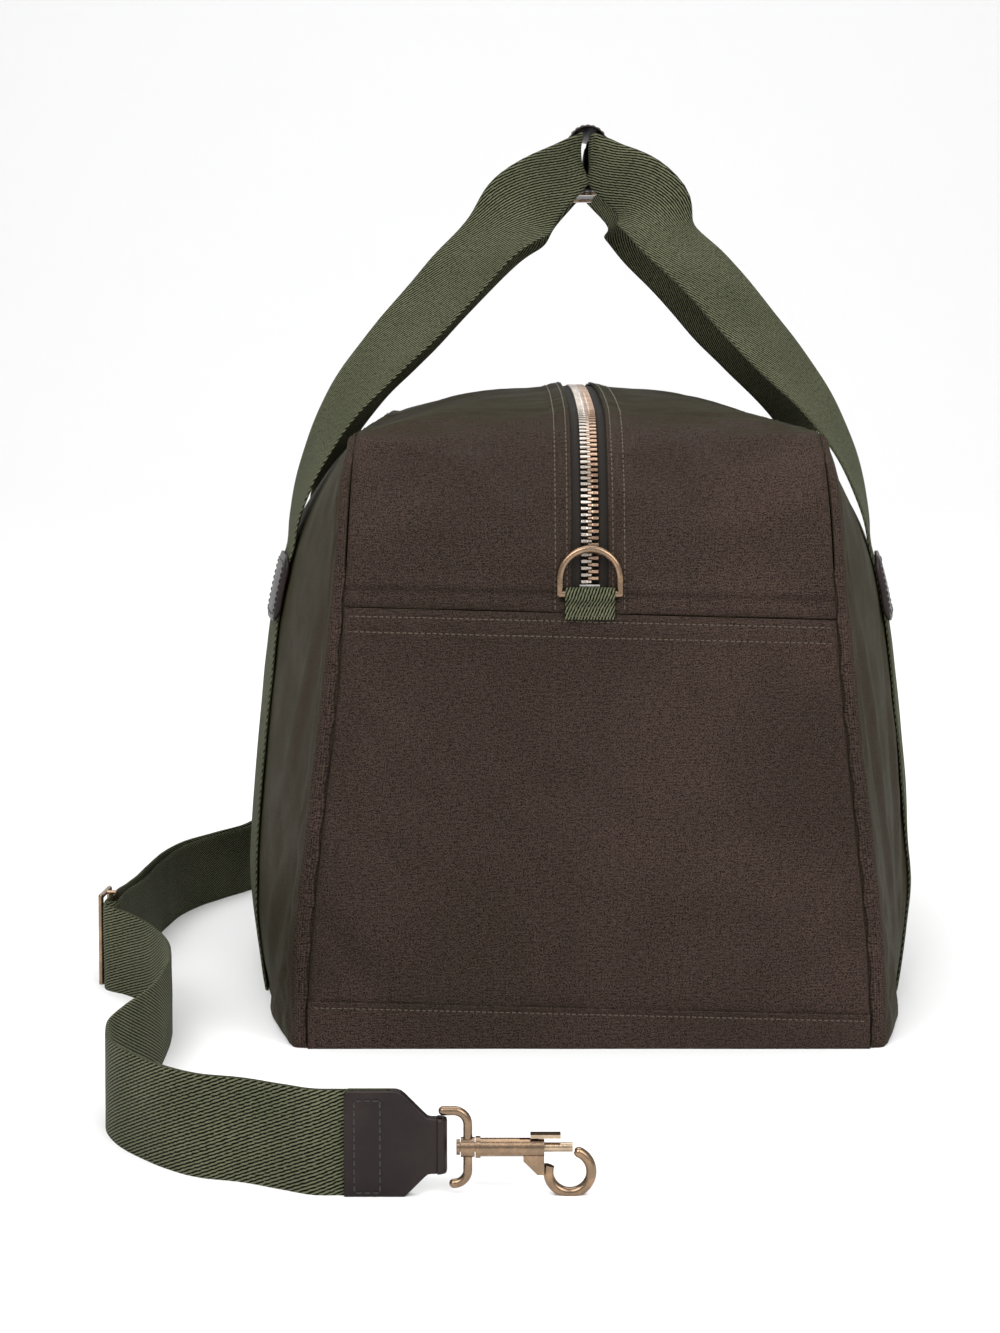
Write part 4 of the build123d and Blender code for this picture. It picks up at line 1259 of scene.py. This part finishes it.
def even_outline(outline, step):
    closed = np.vstack([outline, outline[:1]])
    run = np.concatenate([[0], np.cumsum(np.hypot(*np.diff(closed, axis=0).T))])
    even = np.linspace(0, run[-1], max(12, round(run[-1] / step)), endpoint=False)
    return np.stack([np.interp(even, run, closed[:, i]) for i in range(2)], axis=-1)


def inward_of(outline):
    """Unit vectors pointing into the outline at each of its points."""
    along = unit(np.roll(outline, -1, axis=0) - np.roll(outline, 1, axis=0))
    following = np.roll(outline, -1, axis=0)
    area = 0.5 * np.sum(outline[:, 0] * following[:, 1] - outline[:, 1] * following[:, 0])
    sign = 1 if area > 0 else -1
    return np.stack([-along[:, 1], along[:, 0]], axis=-1) * sign


def plate(name, corners, bottom, top, place, pillow=0.5, edge=0.7, rows=(), layers=()):
    """A leather plate: outline corners, faces at heights bottom and top, and place(x, z, h) in space.
    rows are stitched lines that dent the top, as (start, end); layers are grooves round its edge."""
    outline = even_outline(rounded(corners), 1.6)
    inward = inward_of(outline)
    middle = outline.mean(axis=0)
    levels = [(edge, bottom), (0.3 * edge, bottom + 0.3 * edge), (0.0, bottom + edge)]
    for groove in sorted(layers):
        levels += [(0.0, groove - 0.25), (0.35, groove), (0.0, groove + 0.25)]
    levels += [(0.0, top - edge), (0.3 * edge, top - 0.3 * edge), (edge, top)]
    rings = [(outline + inward * inset, np.full(len(outline), level)) for inset, level in levels]
    shrink = (0.97, 0.93, 0.87, 0.80, 0.72, 0.63, 0.53, 0.42, 0.31, 0.20, 0.10)
    lowest, highest = rings[0], rings[-1]

    def cap(ring, face, outward):
        made = []
        for share in shrink:
            spots = middle + (ring[0] - middle) * share
            height = np.full(len(outline), face) + outward * pillow * (1 - share**3)
            for start, end in rows:
                away, _, _ = line_distance(spots[:, 0], spots[:, 1], start, end)
                height -= outward * 0.35 * bump(away, 0.9)
            made.append((spots, height))
        return made

    stack = cap(lowest, bottom, -1)[::-1] + rings + cap(highest, top, 1)
    points = [place(x, z, h) for spots, heights in stack for (x, z), h in zip(spots, heights)]
    count = len(outline)
    faces = grid_faces(len(stack), count, around=True)
    faces.append(tuple(range(count))[::-1])
    faces.append(tuple(range(len(points) - count, len(points))))
    made = mesh_object(name, np.array(points), faces)
    volume = signed_volume(made)
    if volume < 0:
        made.data.flip_normals()
    return made


def signed_volume(piece):
    """Positive when the piece's faces point outwards."""
    total = 0.0
    verts = piece.data.vertices
    for polygon in piece.data.polygons:
        ids = polygon.vertices
        for i in range(1, len(ids) - 1):
            total += verts[ids[0]].co.dot(verts[ids[i]].co.cross(verts[ids[i + 1]].co))
    return total


# ---------------------------------------------------------------- sewing
class Sewing:
    """Stitches gathered into one piece: short lengths of thread that dip into the cloth at both ends."""

    def __init__(self, name, thread, body, slot, pitch=3.1, length=2.3, thickness=0.62):
        self.name, self.thread, self.body, self.slot = name, thread, body, slot
        self.pitch, self.length, self.thickness = pitch, length, thickness
        self.points, self.faces = [], []

    def stitch(self, at, along, normal, seed):
        wobble = noise.noise(Vector((seed * 1.7, 3.3, 0.5)))
        along = unit(along + 0.05 * wobble * np.cross(along, normal))
        beside = unit(np.cross(along, normal))
        half, r = self.length / 2, self.thickness / 2
        first = len(self.points)
        # (along, up, thickness) as shares of the half length and radius
        shape = (
            (-1.0, -0.9, 0.45),
            (-0.75, 0.25, 0.9),
            (0.0, 0.65, 1.0),
            (0.75, 0.25, 0.9),
            (1.0, -0.9, 0.45),
        )
        sides = 6
        for reach, lift, fat in shape:
            for k in range(sides):
                a = 2 * math.pi * k / sides
                self.points.append(
                    at
                    + along * half * reach
                    + normal * (r * lift + r * fat * math.sin(a) * 0.8)
                    + beside * r * fat * math.cos(a)
                )
        self.faces += grid_faces(len(shape), sides, around=True, first=first)
        self.faces.append(tuple(first + k for k in range(sides))[::-1])
        self.faces.append(tuple(first + len(shape) * sides - sides + k for k in range(sides)))

    def row(self, spots, normals):
        """Stitches along points on a surface."""
        spots, normals = np.array(spots, float), np.array(normals, float)
        if len(spots) < 2:
            return
        run = np.concatenate([[0], np.cumsum(np.linalg.norm(np.diff(spots, axis=0), axis=1))])
        count = max(1, int(run[-1] // self.pitch))
        along = unit(np.gradient(spots, axis=0))
        for i in range(count):
            s = (i + 0.5) * run[-1] / count
            at = np.array([np.interp(s, run, spots[:, k]) for k in range(3)])
            way = unit(np.array([np.interp(s, run, along[:, k]) for k in range(3)]))
            up = unit(np.array([np.interp(s, run, normals[:, k]) for k in range(3)]))
            self.stitch(at, way, up, s + len(self.points))

    def on_canvas(self, starts, direction):
        """A row where lines from the starts meet the canvas."""
        found = [touch(all_canvas, start, direction) for start in starts]
        found = [f for f in found if f is not None]
        self.row([f[0] for f in found], [f[1] for f in found])

    def make(self):
        made = mesh_object(self.name, np.array(self.points), self.faces)
        return finish_piece(made, self.thread, self.body, self.slot)


canvas_sewing = Sewing("canvas_stitching", canvas_thread, "bag", "canvas")
for near in (True, False):
    y, aim = (-330.0, (0, 1, 0)) if near else (330.0, (0, -1, 0))
    for level in (yoke_level - row_one, yoke_level - row_two, hem_level):
        reach = float(seam_half(np.array(level))) - 2.5
        canvas_sewing.on_canvas([(x, y, sewn_line(x, level)) for x in np.linspace(-reach, reach, 90)], aim)
for side in (-1, 1):
    for row in flange_rows:
        x = side * (zip_slot / 2 + row)
        spots, normals = [], []
        for s in np.linspace(yoke_level + 2, profile_length - yoke_level - 2, 340):
            y, z, ny, nz = on_profile(s)
            found = touch(all_canvas, (x, y + 20 * ny, z + 20 * nz), (0, -ny, -nz))
            if found:
                spots.append(found[0])
                normals.append(found[1])
        canvas_sewing.row(spots, normals)
canvas_sewing.make()


# ---------------------------------------------------------------- leather tabs on the sides
def side_patch(side_name, y, z, half_y, half_z):
    """A smooth piece of the side's surface round a point, as place(u, w, h)."""
    side = -1 if side_name == "left" else 1
    us, ws = np.meshgrid(np.linspace(-half_y, half_y, 7), np.linspace(-half_z, half_z, 7))
    xs = np.array([on_side(side_name, y + u, z + w, 0.0)[0][0] for u, w in zip(us.ravel(), ws.ravel())])
    u_run, w_run = us.ravel(), ws.ravel()
    terms = np.stack([np.ones(len(u_run)), u_run, w_run, u_run**2, w_run**2, u_run * w_run], 1)
    fit = np.linalg.lstsq(terms, xs, rcond=None)[0]
    clear = max(0.0, float(np.max(side * (xs - terms @ fit))))

    def place(u, w, h):
        x = fit @ np.array([1, u, w, u * u, w * w, u * w])
        slope_y = fit[1] + 2 * fit[3] * u + fit[5] * w
        slope_z = fit[2] + 2 * fit[4] * w + fit[5] * u
        normal = unit(np.array([1.0, -slope_y, -slope_z])) * side
        return np.array([x + side * clear * 0.6, y + u, z + w]) + normal * h

    return place


tab_sewing = Sewing("tab_stitching", leather_thread, "bag", "leather", pitch=3.4, length=2.5, thickness=0.8)
tab_middle = tab_bottom + tab_height / 2
for side_name in ("left", "right"):
    for end_name, y_sign in (("near", -1), ("far", 1)):
        spread = side_patch(side_name, y_sign * leg_y, tab_middle, tab_width / 2, tab_height / 2)

        def place(u, w, h, spread=spread):
            over = webbing + 0.9 - 1.5 * np.clip((abs(u) - webbing_width / 2) / 3.0, 0, 1)
            return spread(u, w, over + h)

        half_w, half_h = tab_width / 2, tab_height / 2
        corners = ((-half_w, -half_h, 9), (half_w, -half_h, 9), (half_w, half_h, 9), (-half_w, half_h, 9))
        tab = plate(f"leather_tab_{side_name}_{end_name}", corners, 0.0, 2.2, place, pillow=0.25)
        # the tabs take the lightened leather copy, a painted reflection
        finish_piece(tab, tab_leather_painted_reflection, "bag", "leather", f"handle_tab_{side_name}_{end_name}")
        line = even_outline(rounded([(x * 0.87, z * 0.80, 7) for x, z, _ in corners]), 2.0)
        line = np.vstack([line, line[:1]])
        spots = [place(u, w, 2.35) for u, w in line]
        ups = [unit(place(u, w, 3.0) - place(u, w, 0.0)) for u, w in line]
        tab_sewing.row(spots, ups)
tab_sewing.make()


# ---------------------------------------------------------------- D-rings' webbing tabs
ring_level = 239.6
ring_wire = 3.8
ring_tab_width = 25.0
ring_tab_cloth = 1.5
ring_tab_bottom = 226.0
ring_y = half_length + ring_tab_cloth + ring_wire / 2 + 0.06
turn_radius = ring_wire / 2 + 0.06 + ring_tab_cloth / 2


def ring_tab(name, sign):
    """Webbing folded over the ring's bar and sewn down below it."""
    back, front = half_length + 0.75, half_length + 2.25
    path = [(back, ring_tab_bottom + 0.6), (back, ring_tab_bottom + 7), (back, ring_level - 1.5)]
    for a in np.linspace(0, math.pi, 9):
        path.append((ring_y - turn_radius * math.cos(a), ring_level + turn_radius * math.sin(a)))
    path += [(ring_y + turn_radius - 0.4, ring_level - 2.2), (front + 0.9, ring_level - 5.0)]
    path += [(front, ring_tab_bottom + 5), (front, ring_tab_bottom + 0.3)]
    stations = [((0.0, sign * y, z), (sign * -1.0, 0, 0), ring_tab_width) for y, z in path]
    made, _ = strip(name, stations, thickness=ring_tab_cloth, step=0.9)
    finish_piece(made, webbing_cloth, "bag", "webbing", f"ring_tab_{'near' if sign < 0 else 'far'}")
    sewing = Sewing(
        f"{name}_stitching", canvas_thread, "bag", "webbing", pitch=2.6, length=2.0, thickness=0.6
    )
    half = ring_tab_width / 2 - 1.2
    y = sign * (half_length + 3.0)
    for z in (ring_tab_bottom + 2.2, ring_tab_bottom + 6.5):
        sewing.row([(x, y, z) for x in np.linspace(-half, half, 12)], [(0, sign, 0)] * 12)
    sewing.make()


ring_tab("ring_webbing_near", -1)
ring_tab("ring_webbing_far", 1)


# ---------------------------------------------------------------- zip
tape_edge = 4.65  # the tape's woven edge, which the teeth are set on
tape_reach = 18.0
tape_thickness = 0.8
tooth_pitch = 3.49
stop_level = 242.0
stop_length = 4.0


def below(s, depth, x):
    """A point at a depth under the bag's outline, in millimetres."""
    y, z, ny, nz = on_profile(s)
    return np.array([x, y - ny * depth, z - nz * depth])


def zip_tape(name, side):
    runs = np.arange(yoke_level - 0.5, profile_length - yoke_level + 0.5, 3.0)
    across = np.linspace(tape_edge, tape_reach - 0.3, 6)
    points, uvs = [], []
    loop = [(x, canvas + 0.05) for x in across] + [(x, canvas + tape_thickness - 0.05) for x in across[::-1]]
    for s in runs:
        for x, depth in loop:
            points.append(below(s, depth, side * x))
            uvs.append((x, s))
    faces = grid_faces(len(runs), len(loop), around=True)
    faces.append(tuple(range(len(loop)))[::-1])
    faces.append(tuple(range(len(points) - len(loop), len(points))))
    made = mesh_object(name, np.array(points), faces, np.array(uvs))
    if signed_volume(made) < 0:
        made.data.flip_normals()
    return made


def zip_teeth(name, side):
    """One row of cast teeth. Each reaches past the middle, between two of the other row."""
    # (how far from the middle, half length along the zip, half height)
    shape = (
        (tape_edge + 0.1, 0.70, 0.95),
        (tape_edge - 0.3, 0.98, 1.36),
        (1.7, 0.98, 1.38),
        (1.1, 0.78, 1.28),
        (-0.7, 0.76, 1.22),
        (-1.2, 0.45, 0.80),
    )
    ring = ((1, 0.6), (0.7, 1), (-0.7, 1), (-1, 0.6), (-1, -0.6), (-0.7, -1), (0.7, -1), (1, -0.6))
    middle = canvas + tape_thickness / 2
    start = stop_level + stop_length / 2 + 1.4
    count = int((profile_length - 2 * start) / tooth_pitch)
    points, faces = [], []
    for i in range(count):
        s = start + (i + (0.5 if side > 0 else 0.0)) * tooth_pitch
        first = len(points)
        for x, half_run, half_rise in shape:
            for along, up in ring:
                points.append(below(s + along * half_run, middle - up * half_rise, side * x))
        faces += grid_faces(len(shape), len(ring), around=True, first=first)
        faces.append(tuple(first + k for k in range(len(ring)))[::-1])
        faces.append(tuple(first + (len(shape) - 1) * len(ring) + k for k in range(len(ring))))
    made = mesh_object(name, np.array(points), faces, smooth=False)
    if signed_volume(made) < 0:
        made.data.flip_normals()
    add_modifier(made, "BEVEL", width=0.00012, segments=2)
    return made


for side_name, side, metal in (("left", -1, teeth_silver), ("right", 1, teeth_metal)):
    tape = zip_tape(f"zip_herringbone_{side_name}", side)
    finish_piece(tape, tape_cloth, "bag", "zip_tape", f"zip_tape_{side_name}")
    teeth = zip_teeth(f"zip_teeth_{side_name}", side)
    finish_piece(teeth, metal, "bag", "zip_teeth", f"zip_chain_{side_name}")


# ---------------------------------------------------------------- leather ends of the shoulder strap
end_foot_width = 24.0
taper_end = 4.0
end_thickness = 2 * strap_leather + webbing


def strap_end(name, where, node):
    """Two layers of leather sewn over the webbing and rolled round the hook's loop."""
    half, foot = webbing_width / 2, end_foot_width / 2
    chamfer = half - foot

    def place(x, z, h):
        return np.array(where @ Vector((x, -h, z + strap_lift)))

    corners = (
        (4 - end_length, -half, 1.5),
        (-taper_end - chamfer, -half, 3.5),
        (-taper_end, -foot, 3.0),
        (0.8, -foot, 0.4),
        (0.8, foot, 0.4),
        (-taper_end, foot, 3.0),
        (-taper_end - chamfer, half, 6.5),
        (4 - end_length, half, 1.5),
    )
    back = 4 - end_length
    box_left, box_right = back + 4.5, back + 15.5
    rows = (
        ((box_left, -half + 4), (box_left, half - 4)),
        ((box_right, -half + 4), (box_right, half - 4)),
        ((box_left, half - 4), (box_right, half - 4)),
        ((box_left, 4 - half), (box_right, 4 - half)),
    )
    reach = end_thickness / 2
    body = plate(f"{name}_body", corners, -reach, reach, place, pillow=0.15, rows=rows, layers=(-0.9, 0.9))
    finish_piece(body, leather, "bag", "leather", node)
    turn = (loop_bar + strap_leather) / 2 + 0.08
    stations = []
    for a in np.linspace(-0.5 * math.pi, 0.5 * math.pi, 11):
        spot = place(turn * math.cos(a), 0.0, turn * math.sin(a))
        stations.append((tuple(spot), tuple(np.array(where.col[2][:3])), end_foot_width - 0.4))
    roll, _ = strip(f"{name}_roll", stations, thickness=strap_leather, step=0.7)
    finish_piece(roll, leather, "bag", "leather")
    sewing = Sewing(
        f"{name}_stitching", leather_thread, "bag", "leather", pitch=3.4, length=2.5, thickness=0.75
    )
    for face in (-1, 1):
        height = face * reach
        out = unit(place(0, 0, face) - place(0, 0, 0))
        for start, end in rows:
            shares = np.linspace(0, 1, 20)
            spots = [place(*(np.array(start) * (1 - t) + np.array(end) * t), height) for t in shares]
            sewing.row(spots, [out] * len(shares))
    sewing.make()


strap_end("strap_leather_near", near_place, "strap_end_near")
strap_end("strap_leather_far", far_place, "strap_end_far")


# ---------------------------------------------------------------- hardware
def dress(material, bevel, *nodes):
    """A CAD solid keeps its shape and takes a finished material, with its edges broken."""
    for node in nodes:
        piece = bpy.data.objects[node]
        for place in piece.material_slots:
            place.link = "OBJECT"
            place.material = material
        if bevel:
            add_modifier(piece, "BEVEL", width=bevel * MM, segments=2, limit_method="ANGLE")


ends = ("near", "far")
dress(brass, 0.0, *(f"{kind}_{end}" for kind in ("d_ring", "hook_loop", "hook_body") for end in ends))
dress(brass, 0.12, *(f"{kind}_{end}" for kind in ("zip_slider", "zip_pull") for end in ends))
dress(brass, 0.0, "strap_slider", "square_ring")
dress(brass_pale, 0.10, "hook_bolt_near", "hook_bolt_far")
dress(stop_metal, 0.15, "zip_stop_near", "zip_stop_far", "snap_studs")
dress(brass, 0.0, "snap_caps")
dress(board, 0.4, "base_board")


barrel_start = 16.3
spring_start = barrel_start + 2.6 + 0.5
spring_length = 10.0


def coil_spring(name, where, body, node):
    """The bolt's spring, a coil of wire of fixed length."""
    turns, coil, wire, sides = 5, 1.5, 0.25, 8
    points = []
    steps = turns * 24
    for i in range(steps + 1):
        a = 2 * math.pi * turns * i / steps
        centre = np.array([spring_start + spring_length * i / steps, coil * math.cos(a), coil * math.sin(a)])
        climb = spring_length / (2 * math.pi * turns)
        along = unit(np.array([climb, -coil * math.sin(a), coil * math.cos(a)]))
        out = np.array([0.0, math.cos(a), math.sin(a)])
        beside = np.cross(along, out)
        for k in range(sides):
            t = 2 * math.pi * k / sides
            spot = centre + wire * (out * math.cos(t) + beside * math.sin(t))
            points.append(np.array(where @ Vector(spot)))
    faces = grid_faces(steps + 1, sides, around=True)
    faces.append(tuple(range(sides))[::-1])
    faces.append(tuple(range(len(points) - sides, len(points))))
    made = mesh_object(name, np.array(points), faces)
    if signed_volume(made) < 0:
        made.data.flip_normals()
    finish_piece(made, steel, body, "bolt_steel", node)
    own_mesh(made)


for end, where in (("near", near_place), ("far", far_place)):
    coil_spring(f"bolt_coil_{end}", where, f"hook_{end}", f"bolt_spring_{end}")


# ---------------------------------------------------------------- seam allowances
def seam_binding(name, side, near):
    """The turned-in edges of the canvas behind a corner seam."""
    y = (half_length - 3.0) * (-1 if near else 1)
    stations = []
    for z in np.linspace(3.0, shoulder_level - 4.0, 24):
        x = side * (float(seam_half(np.array(z))) + 0.5)
        stations.append(((x, y, z), (1.0, 0.0, 0.0), 9.0))
    made, _ = strip(name, stations, thickness=0.9, step=6.0)
    finish_piece(made, canvas_cloth, "bag", "canvas")


for side_name, side in (("left", -1), ("right", 1)):
    for end_name, near in (("near", True), ("far", False)):
        seam_binding(f"seam_binding_{side_name}_{end_name}", side, near)


# ---------------------------------------------------------------- leather grip
def grip_leather_piece(name, path, body, node):
    """A bent sheet of leather, along the grip, from its section's middle line (x, z)."""
    stations = [((grip_centre_x + x, 0.0, z), (0, 1, 0), grip_length) for x, z in path]
    made, (centre, across, face, run) = strip(
        name, stations, thickness=grip_leather - 0.1, step=0.9, wave=0.25, seed=len(name), halves=24
    )
    finish_piece(made, leather, body, "leather", node)
    sewing = Sewing(
        f"{name}_stitching", leather_thread_pale, body, "leather", pitch=3.3, length=2.4, thickness=0.7
    )
    middle = np.array([grip_centre_x, 0.0, grip_bottom + grip_width])
    out = face * np.sign(((centre - middle) * face).sum(1, keepdims=True))
    keep = slice(3, -3)
    for end in (-1, 1):
        spots = centre + across * end * (grip_length / 2 - 3.2) + out * (grip_leather / 2)
        sewing.row(spots[keep], out[keep])
    sewing.make()


grip_radius = (grip_width - grip_leather) / 2
grip_foot = (grip_foot_width - grip_leather) / 2
eaves = grip_top - grip_width / 2
lip_level = grip_bottom + 1.5 * grip_leather + 0.3
dome = [
    (-grip_radius * math.cos(a), eaves + grip_radius * math.sin(a)) for a in np.linspace(0.0, math.pi, 13)
]
wrap_side = [
    (grip_radius - 2.0, eaves - 9.0),
    (grip_foot + 0.6, lip_level + 2.4),
    (grip_foot - 1.2, lip_level),
]
wrap_path = dome + wrap_side + [(0.0, lip_level), (-grip_foot + 2.2, lip_level)]
flap_level = grip_bottom + grip_leather / 2
flap_path = [
    (-grip_radius, eaves - 0.6),
    (-grip_radius + 2.0, eaves - 9.0),
    (-grip_foot - 0.5, flap_level + 3.0),
    (-grip_foot + 1.2, flap_level),
    (0.0, flap_level),
    (grip_foot + 0.4, flap_level),
]
grip_leather_piece("grip_wrap_leather", wrap_path, "grip", "grip_wrap")
grip_leather_piece("grip_flap_leather", flap_path, "flap", "grip_flap")


# ---------------------------------------------------------------- floor, light and camera
def plain_material(name, colour, roughness=0.9):
    s = Shader(name)
    s.set(Base_Color=(*colour, 1), Roughness=roughness, Specular_IOR_Level=0.1)
    return s.material


def studio():
    """A white sweep under soft light from above and both sides."""
    rows = []
    for y, z in ((-3.2, 0.0), (2.2, 0.0), (3.0, 0.12), (3.6, 0.6), (3.9, 1.4), (4.0, 4.5)):
        rows.append([(-4500.0, y / MM, z / MM), (4500.0, y / MM, z / MM)])
    points = np.array(rows)
    sweep = mesh_object("studio_sweep", points.reshape(-1, 3), grid_faces(len(rows), 2, flip=True))
    add_modifier(sweep, "SUBSURF", levels=2, render_levels=2)
    sweep.location.z = -0.0006
    sweep.data.materials.append(plain_material("studio_white", (0.90, 0.90, 0.90)))
    places = (
        ("key_light", (-1.1, -2.3, 2.2), 1.8, 58.0),
        ("fill_light", (1.3, -2.2, 1.8), 1.8, 46.0),
        ("top_light", (0.0, 0.6, 3.0), 3.0, 66.0),
    )
    for name, at, size, power in places:
        light = bpy.data.lights.new(name, "AREA")
        light.shape, light.size, light.energy = "SQUARE", size, power
        lamp = bpy.data.objects.new(name, light)
        lamp.location = at
        lamp.rotation_euler = (Vector((0, 0, 0.15)) - Vector(at)).to_track_quat("-Z", "Y").to_euler()
        scene.collection.objects.link(lamp)
    world = bpy.data.worlds.new("studio_air")
    world.use_nodes = True
    world.node_tree.nodes["Background"].inputs["Color"].default_value = (1, 1, 1, 1)
    world.node_tree.nodes["Background"].inputs["Strength"].default_value = 0.55
    scene.world = world


def camera():
    """The photograph's view: along the bag from its near end, a little above it."""
    lens = bpy.data.cameras.new("view")
    lens.lens = 74.053
    lens.shift_y = -0.1
    lens.sensor_width = 36.0
    eye = bpy.data.objects.new("view", lens)
    eye.location = (-0.04741, -1.65489, 0.36549)
    eye.rotation_euler = (math.radians(90 - 3.899), 0, math.radians(-0.061))
    scene.collection.objects.link(eye)
    scene.camera = eye


camera()
studio()
scene.view_settings.view_transform = "Standard"
